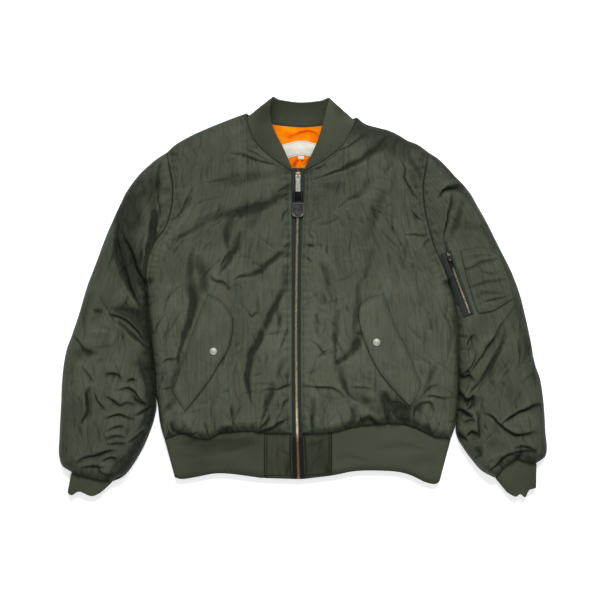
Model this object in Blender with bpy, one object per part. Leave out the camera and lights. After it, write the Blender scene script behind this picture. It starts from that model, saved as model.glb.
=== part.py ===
"""Bomber jacket laid flat on its back with the zip closed.

The jacket lies in the XY plane with its neck towards +Y and its front up. "right" and "left" are
the wearer's, so the right sleeve is at -X. Tables are in millimetres, and the objects in metres.
"""

import math
from collections import namedtuple

import bmesh
import bpy
import numpy as np
from mathutils import Matrix, Vector
from mathutils.bvhtree import BVHTree

MM = 0.001

# ---- Driving sizes, in millimetres
SHELL = 3.0  # nylon, wadding and lining together
KNIT = 3.6  # doubled rib knit
SEAM_GAP = 0.4  # between two pieces at a seam
SIDE_SEAM_HEIGHT = 9.0  # the seam that runs round the flattened edge
UNDER_ROLL = 9.0  # how far the underside curls up towards that seam
BODY_CROWN = 33.0
SLEEVE_CROWN = 40.0
SLEEVE_RISE = 90.0  # how far past the armhole the sleeve reaches its full height
OUTLINE_REACH = 38.0  # how far in from the outline the top surface still rises
ARMPIT_REACH = 20.0  # the same where sleeve and body lie side by side
ARMHOLE_DROP, ARMHOLE_REACH = 3.0, 12.0
HEM_HEIGHT, HEM_REACH = 15.0, 26.0
CUFF_HEIGHT, CUFF_REACH = 17.0, 32.0
ZIP_REACH = 36.0
NECK_DROP, NECK_REACH = 2.5, 14.0

ZIP_X = -10.0
ZIP_HALF_WIDTH = 12.0  # from the centre to the edge of the cloth
ZIP_TOP, ZIP_BOTTOM = 248.0, -366.0
HEM_AT_ZIP = -276.0
CHAIN_HALF_WIDTH = 3.0
TAPE_THICKNESS = 1.2
TAPE_SINK = 0.6  # the tape lies this much lower than the cloth's edge

# ---- Outline curves, from the neck down. Columns: x, y
CURVES = {
    "right": {
        "shoulder": [(-113, 366), (-146, 354), (-186, 338), (-222, 322), (-254, 304), (-272, 288)],
        "outseam": [
            (-272, 288), (-298, 270), (-328, 242), (-352, 210), (-368, 178), (-396, 114), (-414, 66),
            (-432, 18), (-446, -30), (-462, -78), (-474, -112), (-481, -160), (-484, -222),
            (-487, -280), (-488, -316), (-481, -340), (-464, -352),
        ],
        "armhole": [
            (-272, 288), (-266, 256), (-259, 214), (-263, 168), (-276, 132), (-296, 106), (-309, 70),
            (-314, 24),
        ],
        "side": [
            (-314, 24), (-310, -8), (-306, -48), (-301, -98), (-296, -148), (-291, -208), (-286, -254),
            (-278, -286),
        ],
        "inseam": [
            (-314, 24), (-314, -8), (-310, -48), (-305, -98), (-300, -148), (-297, -196), (-299, -240),
            (-307, -274), (-321, -306), (-340, -338), (-358, -360), (-380, -371),
        ],
        "sleeve_end": [(-464, -352), (-440, -359), (-410, -367), (-380, -371)],
        "hem": [
            (-278, -286), (-262, -281), (-240, -275), (-218, -282), (-188, -286), (-164, -275),
            (-110, -270), (-78, -274), (-22, -276),
        ],
        "neck": [(-22, 248), (-60, 273), (-88, 298), (-102, 318), (-110, 344), (-113, 366)],
        "cuff_end": [(-472, -393), (-462, -398), (-447, -391), (-424, -400), (-408, -395), (-396, -386)],
        "rib_bottom": [
            (-257, -363), (-240, -366), (-214, -362), (-176, -355), (-142, -356), (-96, -362),
            (-78, -364), (-22, -366),
        ],
    },
    "left": {
        "shoulder": [
            (108, 358), (124, 345), (150, 337), (170, 332), (190, 323), (210, 311), (230, 303), (252, 287),
        ],
        "outseam": [
            (252, 287), (274, 272), (302, 242), (332, 209), (350, 178), (368, 146), (392, 98), (416, 50),
            (434, 2), (446, -46), (456, -94), (464, -136), (475, -170), (482, -222), (485, -270),
            (488, -302), (484, -322), (468, -334),
        ],
        "armhole": [
            (252, 287), (244, 252), (239, 212), (243, 168), (252, 130), (262, 96), (279, 58), (292, 24),
        ],
        "side": [
            (292, 24), (299, -8), (304, -48), (307, -98), (308, -148), (308, -198), (305, -238),
            (297, -284),
        ],
        "inseam": [
            (292, 24), (303, -8), (308, -48), (311, -98), (312, -148), (312, -198), (309, -238),
            (306, -262), (310, -282), (320, -303), (338, -328), (358, -350), (384, -364),
        ],
        "sleeve_end": [(468, -334), (448, -332), (426, -328), (406, -340), (384, -364)],
        "hem": [
            (297, -284), (262, -281), (234, -268), (200, -257), (160, -256), (110, -261), (58, -273),
            (2, -276),
        ],
        "neck": [(2, 248), (38, 267), (64, 286), (82, 304), (98, 334), (108, 358)],
        "cuff_end": [(467, -384), (452, -388), (444, -402), (434, -396), (424, -401), (407, -392)],
        "rib_bottom": [
            (274, -370), (264, -376), (244, -372), (214, -358), (184, -351), (134, -349), (98, -351),
            (58, -359), (2, -366),
        ],
    },
}
BACK_NECK = [(-113, 366), (-96, 357), (-64, 347), (-6, 341), (40, 344), (78, 350), (108, 358)]
WOVEN_END = {"right": -78, "left": 58}  # where the rib stops and the woven band end starts
WOVEN_KNOT = 0.83  # the share of a front's lower edge where that falls
COLLAR_BULGE = 2.5
COLLAR_CORNER_GAP = 2.0  # from the shoulder seams, where the band turns from front to back
CHAIN_RISE, CHAIN_DEPTH = 0.9, 3.0  # over the cloth's edge, and from top to bottom
CHAIN_TOP = 243.0
BOX_LENGTH, BOX_WIDTH = 14.0, 9.6

# The height of the zip along its length. Columns: y, height
ZIP_PROFILE = [(-370, 14.5), (-290, 15), (-262, 19), (-225, 24), (-150, 26), (0, 25), (150, 27), (252, 26)]

# The free edge of the knit collar, from the right front end round the back. Columns: share, x, y, height
COLLAR_EDGE = [
    (0.00, -23, 259, 27), (0.12, -42, 300, 33), (0.22, -56, 328, 35), (0.30, -64, 352, 34),
    (0.36, -65, 378, 31), (0.40, -60, 397, 26), (0.44, -46, 392, 22), (0.50, -6, 387, 19),
    (0.56, 34, 390, 22), (0.60, 52, 395, 26), (0.64, 47, 374, 31), (0.70, 40, 346, 34),
    (0.78, 30, 312, 35), (0.88, 17, 282, 33), (1.00, 5, 259, 27),
]

# Pocket flaps: the four edges, each from the top or the right side. Columns: x, y
FLAPS = {
    "right": {
        "top": [(-188, 2), (-164, -10), (-148, -30), (-140, -46)],
        "free": [
            (-140, -46), (-142, -79), (-152, -110), (-168, -136), (-186, -167), (-210, -198), (-234, -228),
        ],
        "foot": [(-259, -188), (-246, -210), (-234, -228)],
        "hinge": [(-188, 2), (-210, -48), (-228, -102), (-244, -148), (-259, -188)],
    },
    "left": {
        "top": [(159, 3), (132, -4), (115, -18), (111, -38)],
        "free": [(111, -38), (114, -61), (126, -98), (142, -133), (159, -160), (186, -192), (212, -218)],
        "foot": [(235, -178), (224, -200), (212, -218)],
        "hinge": [(159, 3), (186, -68), (204, -102), (221, -144), (235, -178)],
    },
}
FLAP_SPINE = {
    "right": [(-174, -24), (-196, -110), (-236, -200)],
    "left": [(134, -22), (166, -112), (214, -190)],
}
FLAP_HALF_WIDTH = 30.0  # the panel is smooth this far from a flap's spine
FLAP_LIFT, FLAP_THICKNESS = 0.5, 2.6
SNAPS = {"right": (-178, -110), "left": (146, -92)}
SNAP_RADIUS, SNAP_RIM, SNAP_HEIGHT, SNAP_DISH = 7.5, 1.6, 2.4, 0.9

# The utility pocket on the left sleeve. Columns: x, y
SLEEVE_ZIP = [(286, 88), (300, 47), (309, 23), (322, -12), (331, -38)]
SLEEVE_TAPE_HALF, SLEEVE_TAPE_THICKNESS = 8.0, 1.2
SLEEVE_CHAIN_HALF, SLEEVE_CHAIN_HEIGHT = 2.4, 2.2
POCKET = {
    "top": [(312, 90), (348, 95), (386, 92)],
    "outer": [(386, 92), (402, 52), (414, 12), (418, -4)],
    "foot": [(348, -34), (374, -30), (396, -18), (418, -4)],
    "inner": [(312, 90), (322, 48), (334, 4), (342, -22), (348, -34)],
}
POCKET_LIFT, POCKET_THICKNESS = 1.3, 2.2
POCKET_SPINE, POCKET_HALF_WIDTH = [(320, 80), (352, 10), (370, -30)], 46.0

# Lining and labels that show in the neck. Columns: x, y
LINING = {"half_width": 84.0, "foot": 196.0, "lift": 0.5, "swell": 7.0, "thickness": 1.4}
LABEL = {
    "top": [(-42, 303), (-4, 311), (30, 304)],
    "foot": [(-30, 276), (-4, 282), (20, 278)],
}
LABEL_THICKNESS = 0.9
SIZE_TAG = (-4, 277, 12, 9)  # x, y, width, height

# Zip hardware, in its own frame: +Y up the zip, +Z out of the cloth
SLIDER_LENGTH, SLIDER_WIDTH, SLIDER_PLATE = 15.0, 9.6, 1.3
POST_LENGTH, POST_WIDTH = 3.0, 3.4
RUNNING_GAP = 0.35
CROWN_SPAN, CROWN_WIDTH, CROWN_STRAP, CROWN_INSIDE = 8.4, 3.4, 1.2, 3.4
PIN_RADIUS = 1.05
EYE_REACH = 6.2  # from the hinge axis to the far end of the pull's eye
BAR_WIDTH, BAR_LENGTH, BAR_THICKNESS = 9.6, 31.0, 1.8
TAB_WIDTH, TAB_LENGTH, TAB_THICKNESS = 19.0, 22.0, 2.4
GRIP_WIDTH, GRIP_LENGTH, GRIP_THICKNESS = 24.0, 28.0, 4.4
SMALL = 0.72  # the pocket's zip hardware against the main zip's
SMALL_BAR_LENGTH = 21.0

# The largest folds in the cloth. Columns: path of x and y, width, depth, lean to one side
Fold = namedtuple("Fold", "path width depth lean")
BODY_FOLDS = [
    Fold([(-26, 228), (-56, 198), (-106, 178), (-156, 166), (-206, 146), (-250, 122)], 11, 6.5, 0.3),
    Fold([(-24, 98), (-46, 82), (-72, 62), (-100, 44), (-140, 38)], 9, 5.5, 0.3),
    Fold([(-146, 288), (-106, 276), (-58, 258)], 7, 3.5, 0),
    Fold([(-148, 344), (-108, 316), (-84, 300)], 7, 3.0, 0),
    Fold([(-220, 228), (-222, 196), (-246, 162), (-268, 156)], 8, 3.5, 0),
    Fold([(-152, 136), (-160, 112), (-142, 92), (-166, 44)], 9, 4.0, 0.2),
    Fold([(-50, 6), (-76, -48), (-100, -98), (-110, -136), (-110, -178), (-106, -216)], 12, 6.5, 0.4),
    Fold([(-62, -174), (-72, -208), (-92, -254)], 9, 5.0, 0),
    Fold([(-232, -16), (-242, -58), (-250, -104), (-266, -132)], 10, 4.5, 0),
    Fold([(-26, -150), (-54, -156), (-80, -178)], 8, 3.5, 0),
    Fold([(12, 250), (50, 248), (94, 266), (128, 286), (156, 312)], 11, 6.5, -0.3),
    Fold([(190, 268), (202, 240), (216, 210), (232, 188)], 8, 4.0, 0.2),
    Fold([(212, 290), (226, 266), (240, 246)], 7, 3.0, 0),
    Fold([(156, 206), (130, 158), (110, 112), (108, 46), (104, 2)], 14, 5.5, 0),
    Fold([(38, 66), (50, 38), (52, 6), (60, -34)], 9, 3.5, 0),
    Fold([(60, -32), (64, -98), (60, -154), (90, -202), (152, -240)], 11, 5.5, 0.3),
    Fold([(110, 2), (102, -78), (94, -108), (70, -124)], 9, 4.5, 0),
    Fold([(6, -178), (50, -182), (84, -194)], 8, 4.0, 0.3),
    Fold([(194, 122), (220, 124), (244, 118)], 7, 3.0, 0),
    Fold([(218, -246), (232, -214), (256, -186), (262, -138)], 9, 4.5, 0),
    Fold([(162, -202), (160, -232), (150, -252)], 10, 6.0, 0.3),
]
SLEEVE_FOLDS = [
    Fold([(-368, 172), (-372, 136), (-362, 92), (-346, 46), (-326, -4)], 9, 8.0, -0.4),
    Fold([(-356, 118), (-342, 86), (-330, 48), (-318, 10)], 8, 6.0, -0.3),
    Fold([(-292, 238), (-288, 196), (-290, 150), (-306, 110)], 8, 4.5, 0),
    Fold([(-390, -38), (-362, -48), (-340, -72), (-320, -90), (-302, -104)], 9, 7.5, 0.4),
    Fold([(-438, -142), (-426, -162), (-414, -174)], 8, 3.5, 0),
    Fold([(-424, -182), (-428, -206), (-442, -254)], 9, 4.0, 0),
    Fold([(-362, -188), (-332, -192), (-306, -214)], 8, 5.5, 0.3),
    Fold([(-392, -243), (-362, -236), (-332, -243)], 8, 5.0, 0.3),
    Fold([(-446, -332), (-404, -316), (-372, -308)], 8, 5.5, 0.3),
    Fold([(262, 274), (260, 226), (254, 172), (262, 136), (276, 112)], 8, 5.0, 0),
    Fold([(282, 190), (304, 212), (334, 200), (350, 184)], 10, 7.0, 0.4),
    Fold([(310, 186), (298, 148), (286, 104)], 8, 6.0, 0.2),
    Fold([(420, -8), (384, -72), (350, -122), (330, -182)], 9, 8.0, 0.4),
    Fold([(398, -54), (376, -100), (354, -146), (338, -188)], 7, 4.0, 0),
    Fold([(476, -218), (440, -224), (404, -248)], 9, 5.5, 0.3),
    Fold([(364, -234), (384, -254), (414, -272), (464, -270)], 9, 6.0, 0.3),
    Fold([(384, -332), (414, -308), (460, -300)], 8, 5.0, 0.3),
    Fold([(314, -172), (338, -164), (346, -190)], 7, 4.0, 0),
    Fold([(312, -230), (340, -226), (352, -250)], 7, 4.5, 0),
]

# Gathers where cloth is drawn in to a shorter seam. Columns: side, seam, first and last share of the
# seam, how many, length, width, depth
Gather = namedtuple("Gather", "side seam first last count length width depth")
BODY_GATHERS = [
    Gather("right", "hem", 0.04, 0.84, 8, 44, 8, 6.0),
    Gather("left", "hem", 0.04, 0.88, 8, 44, 8, 6.0),
]
SLEEVE_GATHERS = [
    Gather("right", "sleeve_end", 0.1, 0.9, 4, 46, 8, 5.5),
    Gather("left", "sleeve_end", 0.1, 0.9, 4, 46, 8, 5.5),
    Gather("right", "inseam", 0.50, 0.82, 5, 42, 7, 5.0),
    Gather("left", "inseam", 0.52, 0.80, 5, 36, 7, 5.0),
]
GATHER_SWING = 0.35  # how far gathers lean from square to the seam, in turn

# ---- How finely each piece is divided, as shares from one edge to the other
ACROSS_SLEEVE = [
    0, 0.012, 0.035, 0.075, 0.13, 0.2, 0.28, 0.36, 0.44, 0.52, 0.6, 0.68, 0.76, 0.84, 0.91, 0.96, 1,
]
DOWN_SLEEVE = [i / 22 for i in range(22)] + [0.975, 0.99, 1]
ACROSS_FRONT = [
    0, 0.012, 0.035, 0.07, 0.12, 0.18, 0.24, 0.305, 0.37, 0.435, 0.5, 0.53, 0.57, 0.615, 0.665,
    0.72, 0.775, 0.83, 0.885, 0.93, 0.965, 1,
]
UP_FRONT_BELOW = [0, 0.012, 0.03, 0.055, 0.09, 0.13, 0.175, 0.22, 0.265, 0.31, 0.355, 0.4, 0.45]
UNDER_ACROSS = [0, 0.02, 0.05, 0.11, 0.3, 0.5, 0.7, 0.89, 0.95, 0.98, 1]
UNDER_DOWN = [0, 0.12, 0.25, 0.4, 0.55, 0.7, 0.82, 0.92, 1]
BACK_ACROSS = [
    0, 0.008, 0.02, 0.045, 0.12, 0.22, 0.3, 0.36, 0.42, 0.5, 0.58, 0.64, 0.7, 0.78, 0.88, 0.955, 0.98,
    0.992, 1,
]
BACK_BELOW = [0, 0.1, 0.2, 0.3, 0.4]
CORNER = 0.5  # where the armpit and the side of the neck fall on a front's left and top edges
BACK_ZIP_KNOTS = (0.49, 0.51)  # where the zip's two sides fall on the back's lower edge
BACK_CORNERS = (0.3, 0.7)  # where the sides of the neck fall on the back's top edge

# ---- Finishes. Columns: colour, roughness, metallic
FINISHES = {
    "shell_nylon": ((0.055, 0.062, 0.046), 0.6, 0),
    "rib_knit": ((0.050, 0.054, 0.038), 0.9, 0),
    "lining_nylon": ((0.90, 0.19, 0.01), 0.5, 0),
    "label_cloth": ((0.82, 0.80, 0.70), 0.8, 0),
    "zip_tape": ((0.022, 0.030, 0.036), 0.8, 0),
    "brass": ((0.45, 0.32, 0.14), 0.35, 1),
    "nickel": ((0.55, 0.55, 0.52), 0.3, 1),
    "black_leather": ((0.012, 0.012, 0.012), 0.45, 0),
    "grey_rubber": ((0.07, 0.07, 0.065), 0.35, 0),
}


def clear_scene():
    for thing in list(bpy.data.objects):
        bpy.data.objects.remove(thing)


def finish(name):
    """The material of that name, made the first time it is asked for."""
    found = bpy.data.materials.get(name)
    if found:
        return found
    colour, roughness, metallic = FINISHES[name]
    made = bpy.data.materials.new(name)
    made.use_nodes = True
    shader = made.node_tree.nodes["Principled BSDF"]
    shader.inputs["Base Color"].default_value = (*colour, 1)
    shader.inputs["Roughness"].default_value = roughness
    shader.inputs["Metallic"].default_value = metallic
    return made


# ---- Curves in the plane


def smooth(rows, steps=10):
    """A Catmull-Rom curve through the rows, as many points."""
    p = np.array(rows, float)
    p = np.vstack([2 * p[0] - p[1], p, 2 * p[-1] - p[-2]])
    t = np.linspace(0, 1, steps, endpoint=False)[:, None]
    spans = [
        0.5 * (
            2 * b + (c - a) * t + (2 * a - 5 * b + 4 * c - d) * t**2 + (3 * b - a - 3 * c + d) * t**3
        )
        for a, b, c, d in zip(p[:-3], p[1:-2], p[2:-1], p[3:])
    ]
    return np.vstack([*spans, p[-2:-1]])


def at_shares(line, shares):
    """The points at these shares of a line's length."""
    run = np.concatenate([[0], np.cumsum(np.linalg.norm(np.diff(line, axis=0), axis=1))])
    where = np.asarray(shares, float) * run[-1]
    return np.stack([np.interp(where, run, line[:, k]) for k in range(line.shape[1])], axis=1)


def along(lines, knots, shares):
    """The points at these shares of several lines in a row. Line i runs from knots[i] to knots[i + 1]."""
    shares = np.asarray(shares, float)
    found = np.zeros((len(shares), lines[0].shape[1]))
    for line, low, high in zip(lines, knots[:-1], knots[1:]):
        inside = (shares >= low - 1e-9) & (shares <= high + 1e-9)
        local = np.clip((shares[inside] - low) / (high - low), 0, 1)
        found[inside] = at_shares(line, local)
    return found


def blend(bottom, top, left, right, u, v):
    """A Coons patch at the shares u across and v up."""
    corners = (
        (1 - u) * (1 - v) * bottom[0] + u * (1 - v) * bottom[-1] + (1 - u) * v * top[0] + u * v * top[-1]
    )
    return (1 - v) * bottom[None] + v * top[None] + (1 - u) * left[:, None] + u * right[:, None] - corners


def nearest(points, line):
    """For each point, its distance from a line, the share of the line's length there, and the way off it."""
    start, step = line[:-1], np.diff(line, axis=0)
    length = np.linalg.norm(step, axis=1)
    off_start = points[:, None] - start[None]
    t = np.clip((off_start * step).sum(2) / length**2, 0, 1)
    off = off_start - t[..., None] * step
    gap = np.linalg.norm(off, axis=2)
    i = gap.argmin(axis=1)
    pick = np.arange(len(points))
    run = np.concatenate([[0], np.cumsum(length)])
    share = (run[i] + t[pick, i] * length[i]) / run[-1]
    square = np.stack([-step[i, 1], step[i, 0]], axis=1) / length[i, None]
    side = np.where((off[pick, i] * square).sum(1) >= 0, 1.0, -1.0)
    away = np.where(gap[pick, i, None] > 0.5, off[pick, i] / np.maximum(gap[pick, i, None], 1e-9), square)
    return gap[pick, i], share, side, away


LINES = {side: {name: smooth(rows) for name, rows in CURVES[side].items()} for side in CURVES}
BACK_NECK_LINE = smooth(BACK_NECK)


def inside_on_left(side, name):
    """An outline curve, turned so that the cloth is on its left."""
    line = LINES[side][name]
    turn = (side == "left") != (name == "inseam")
    return line[::-1] if turn else line


# ---- The height of the top surface over the floor


def quarter_round(q):
    q = np.clip(q, 0, 1)
    return np.sqrt(np.maximum(1 - (1 - q) ** 2, 0))


def zip_height(y):
    rows = np.array(ZIP_PROFILE, float)
    return np.interp(y, rows[:, 0], rows[:, 1])


EDGE_REACH = {
    "shoulder": OUTLINE_REACH, "outseam": OUTLINE_REACH, "side": ARMPIT_REACH, "inseam": ARMPIT_REACH,
}


def surface(points, side, part):
    """(height, upward direction) of the top surface without its folds. part is body or sleeve."""
    crown = np.full(len(points), BODY_CROWN)
    from_armhole = nearest(points, LINES[side]["armhole"])[0]
    if part == "sleeve":
        rise = np.clip(from_armhole / SLEEVE_RISE, 0, 1)
        crown += (SLEEVE_CROWN - BODY_CROWN) * rise * rise * (3 - 2 * rise)
    height, upward = crown.copy(), np.tile([0.0, 0.0, 1.0], (len(points), 1))
    for name, reach in EDGE_REACH.items():
        gap, _, _, away = nearest(points, inside_on_left(side, name))
        lift = quarter_round(gap / reach)
        here = SIDE_SEAM_HEIGHT + (crown - SIDE_SEAM_HEIGHT) * lift
        lower = here < height
        level = np.clip(1 - gap / reach, 0, 1) / reach
        tilt = np.column_stack([-away * level[:, None], lift / (crown - SIDE_SEAM_HEIGHT)])
        tilt /= np.linalg.norm(tilt, axis=1)[:, None]
        height[lower], upward[lower] = here[lower], tilt[lower]
    seams = [("armhole", crown - ARMHOLE_DROP, ARMHOLE_REACH)]
    if part == "body":
        seams += [("hem", np.full(len(points), HEM_HEIGHT), HEM_REACH), ("neck", crown - NECK_DROP, NECK_REACH)]
    else:
        seams += [("sleeve_end", np.full(len(points), CUFF_HEIGHT), CUFF_REACH)]
    for name, end, reach in seams:
        gap = nearest(points, LINES[side][name])[0]
        height = np.minimum(height, end + (crown - end) * np.sin(np.clip(gap / reach, 0, 1) * math.pi / 2))
    if part == "body":
        gap = np.abs(points[:, 0] - ZIP_X) - ZIP_HALF_WIDTH
        end = zip_height(points[:, 1])
        rise = np.sin(np.clip(gap / ZIP_REACH, 0, 1) * math.pi / 2)
        height = np.minimum(height, end + (crown - end) * rise)
    return height, upward


def gather_folds(gathers):
    """The troughs of each gather, square to its seam and swung a little to each side in turn."""
    folds = []
    for g in gathers:
        line = LINES[g.side][g.seam]
        centre = np.mean(np.vstack([LINES[g.side]["armhole"], LINES[g.side][g.seam]]), axis=0)
        for i in range(g.count):
            share = g.first + (g.last - g.first) * (i + 0.5) / g.count
            foot, ahead = at_shares(line, [share, min(share + 0.01, 1)])
            way = (ahead - foot) / np.linalg.norm(ahead - foot)
            square = np.array([-way[1], way[0]])
            if square @ (centre - foot) < 0:
                square = -square
            swing = GATHER_SWING * math.sin(2.4 * i + 1)
            reach = g.length * (1 + 0.35 * math.sin(1.7 * i))
            tip = foot + (square + way * swing) * reach
            middle = foot + (square + way * swing * 0.3) * reach * 0.5
            depth = g.depth * (1 + 0.25 * math.cos(3.1 * i))
            folds.append(Fold([foot - 4 * square, middle, tip], g.width, depth, 0))
    return folds


def fold_height(points, folds):
    """How far the folds push the surface out, or in where negative."""
    total = np.zeros(len(points))
    for fold in folds:
        gap, share, side, _ = nearest(points, smooth(fold.path, 6))
        q = gap / fold.width * (1 + fold.lean * side)
        taper = np.sin(np.clip(share, 0, 1) * math.pi) ** 0.5
        trough = -np.exp(-(q**2)) + 0.4 * np.exp(-(((q - 1.8) / 0.8) ** 2))
        total += fold.depth * trough * taper
    return total


FOLDS = {"body": BODY_FOLDS + gather_folds(BODY_GATHERS), "sleeve": SLEEVE_FOLDS + gather_folds(SLEEVE_GATHERS)}
FOLD_FADE = 14.0  # folds die out this near an edge of the outline, the zip or the armhole
DEEPEST, HIGHEST = -9.0, 5.0
INNER_SHARE = 0.8  # the inside of the wall follows this share of each fold


def calm(points, side, part):
    """0 where folds have died out, at seams that must stay level, and 1 away from them."""
    names = ["shoulder", "outseam", "side" if part == "body" else "inseam"]
    gap = np.min([nearest(points, LINES[side][name])[0] for name in names], axis=0)
    share = 0.25 + 0.75 * np.clip(gap / FOLD_FADE, 0, 1)
    share[gap < 0.5] = 0
    for name in ("armhole", "neck", "hem", "sleeve_end"):
        share = np.minimum(share, np.clip(nearest(points, LINES[side][name])[0] / FOLD_FADE, 0, 1))
    kept_smooth = [(FLAP_SPINE[side], FLAP_HALF_WIDTH)]
    if side == "left":
        kept_smooth.append((POCKET_SPINE, POCKET_HALF_WIDTH))
    for spine, half_width in kept_smooth:
        gap = nearest(points, np.array(spine, float))[0] - half_width
        share = np.minimum(share, np.clip(gap / FOLD_FADE, 0, 1))
    if part == "body":
        share = np.minimum(share, np.clip((np.abs(points[:, 0] - ZIP_X) - ZIP_HALF_WIDTH) / FOLD_FADE, 0, 1))
    return share


def top_sheet(grid, side, part):
    """(outer, inner) points of a wall that follows the top surface over a grid in the plane."""
    flat = grid.reshape(-1, 2)
    height, upward = surface(flat, side, part)
    push = np.clip(fold_height(flat, FOLDS[part]), DEEPEST, HIGHEST) * calm(flat, side, part)
    base = np.column_stack([flat, height])
    outer = base + push[:, None] * upward
    inner = base - SHELL * upward + INNER_SHARE * push[:, None] * upward
    shape = (*grid.shape[:2], 3)
    return outer.reshape(shape), inner.reshape(shape)


def under_sheet(grid, edges):
    """(outer, inner) points of a wall that lies on the floor and curls up at the outline's edges."""
    flat = grid.reshape(-1, 2)
    height, downward = np.zeros(len(flat)), np.tile([0.0, 0.0, -1.0], (len(flat), 1))
    for line in edges:
        gap, _, _, away = nearest(flat, line)
        lift = 1 - quarter_round(gap / UNDER_ROLL)
        here = SIDE_SEAM_HEIGHT * lift
        higher = here > height
        level = np.clip(1 - gap / UNDER_ROLL, 0, 1)
        tilt = np.column_stack([-away * level[:, None], -np.sqrt(np.maximum(1 - level**2, 0))])
        height[higher], downward[higher] = here[higher], tilt[higher]
    outer = np.column_stack([flat, height])
    inner = outer - SHELL * downward
    shape = (*grid.shape[:2], 3)
    return outer.reshape(shape), inner.reshape(shape)


# ---- Solids


def trim(outer, inner, gap=SEAM_GAP / 2):
    """Draws each edge of a wall back along the cloth, to leave room for the seam."""
    for edge, beside in (
        (np.s_[0], np.s_[1]), (np.s_[-1], np.s_[-2]), (np.s_[:, 0], np.s_[:, 1]), (np.s_[:, -1], np.s_[:, -2])
    ):
        back = outer[beside] - outer[edge]
        back = back / np.linalg.norm(back, axis=-1, keepdims=True) * gap
        outer[edge] += back
        inner[edge] += back
    return outer, inner


def add_object(name, bm, slot, parent=None, smooth_angle=None):
    mesh = bpy.data.meshes.new(name)
    bm.to_mesh(mesh)
    bm.free()
    mesh.materials.append(finish(slot))
    if smooth_angle is not None:
        mesh.shade_smooth()
        mesh.set_sharp_from_angle(angle=math.radians(smooth_angle))
    made = bpy.data.objects.new(name, mesh)
    made.parent = parent
    bpy.context.scene.collection.objects.link(made)
    return made


def wall(name, outer, inner, slot):
    """A closed sheet between two grids of points in millimetres, extruded from the outer to the inner."""
    rows, columns = outer.shape[:2]
    bm = bmesh.new()
    place = bm.verts.layers.int.new("place")
    bmesh.ops.create_grid(bm, x_segments=columns - 1, y_segments=rows - 1, size=1)
    for vert in bm.verts:
        column = round((vert.co.x + 1) / 2 * (columns - 1))
        row = round((vert.co.y + 1) / 2 * (rows - 1))
        vert[place] = row * columns + column
    made = bmesh.ops.extrude_face_region(bm, geom=bm.faces[:], use_keep_orig=True)
    within = {thing for thing in made["geom"] if isinstance(thing, bmesh.types.BMVert)}
    outside, inside = outer.reshape(-1, 3) * MM, inner.reshape(-1, 3) * MM
    for vert in bm.verts:
        vert.co = (inside if vert in within else outside)[vert[place]]
    bmesh.ops.triangulate(bm, faces=bm.faces[:], quad_method="SHORT_EDGE")
    bmesh.ops.recalc_face_normals(bm, faces=bm.faces[:])
    return add_object(name, bm, slot, smooth_angle=60)


def block(size, centre, bevel=0.0):
    """A bmesh box of this size in millimetres, with its edges rounded."""
    bm = bmesh.new()
    place = Matrix.LocRotScale(Vector(centre) * MM, None, Vector(size) * MM)
    bmesh.ops.create_cube(bm, size=1, matrix=place)
    if bevel:
        bmesh.ops.bevel(
            bm, geom=bm.edges[:], offset=bevel * MM, segments=2, profile=0.5, affect="EDGES", material=-1
        )
    return bm


def plate(outline, low, high, bevel=0.0):
    """A bmesh plate between two heights, with this outline in the plane, in millimetres."""
    bm = bmesh.new()
    corners = [bm.verts.new((x * MM, y * MM, low * MM)) for x, y in outline]
    face = bm.faces.new(corners)
    made = bmesh.ops.extrude_face_region(bm, geom=[face], use_keep_orig=True)
    lifted = [thing for thing in made["geom"] if isinstance(thing, bmesh.types.BMVert)]
    bmesh.ops.translate(bm, verts=lifted, vec=(0, 0, (high - low) * MM))
    bmesh.ops.recalc_face_normals(bm, faces=bm.faces[:])
    if bevel:
        rims = [e for e in bm.edges if abs(e.verts[0].co.z - e.verts[1].co.z) < 1e-6]
        bmesh.ops.bevel(bm, geom=rims, offset=bevel * MM, segments=2, profile=0.5, affect="EDGES", material=-1)
    return bm


def joined(name, pieces, slot, frame, parent=None, cuts=()):
    """One solid from several overlapping bmeshes, less the cutters, placed by a frame."""
    base = add_object(name, pieces[0], slot, parent)
    base.matrix_world = frame
    for kind, bodies in (("UNION", pieces[1:]), ("DIFFERENCE", cuts)):
        for i, body in enumerate(bodies):
            helper = add_object(f"{name}_{kind.lower()}_{i}", body, slot)
            helper.matrix_world = frame
            helper.hide_render = True
            helper.display_type = "WIRE"
            change = base.modifiers.new(f"{kind.lower()}_{i}", "BOOLEAN")
            change.operation, change.object, change.solver = kind, helper, "EXACT"
    return base


# ---- The cloth panels


def front_shares():
    """Shares up a front's edges. The upper half falls on the sleeve's own divisions round the armhole."""
    upper = [1 - CORNER * share for share in reversed(ACROSS_SLEEVE)]
    return UP_FRONT_BELOW + upper


def front_grid(side):
    """A front's points in the plane. Column 0 runs up the side seam and the armhole."""
    lines = LINES[side]
    zip_x = ZIP_X + math.copysign(ZIP_HALF_WIDTH, CURVES[side]["hem"][0][0])
    us, vs = np.array(ACROSS_FRONT), np.array(front_shares())
    hem = at_x_knot(lines["hem"], WOVEN_END[side], us, WOVEN_KNOT)
    top = along([lines["shoulder"][::-1], lines["neck"][::-1]], [0, CORNER, 1], us)
    edge = along([lines["side"][::-1], lines["armhole"][::-1]], [0, CORNER, 1], vs)
    front = np.column_stack([np.full(len(vs), zip_x), HEM_AT_ZIP + (ZIP_TOP - HEM_AT_ZIP) * vs])
    return blend(hem, top, edge, front, us[None, :, None], vs[:, None, None])


def at_x_knot(line, x, shares, knot):
    """Points along a line whose point at this x falls on the share called knot."""
    i = int(np.abs(line[:, 0] - x).argmin())
    return along([line[: i + 1], line[i:]], [0, knot, 1], shares)


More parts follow.
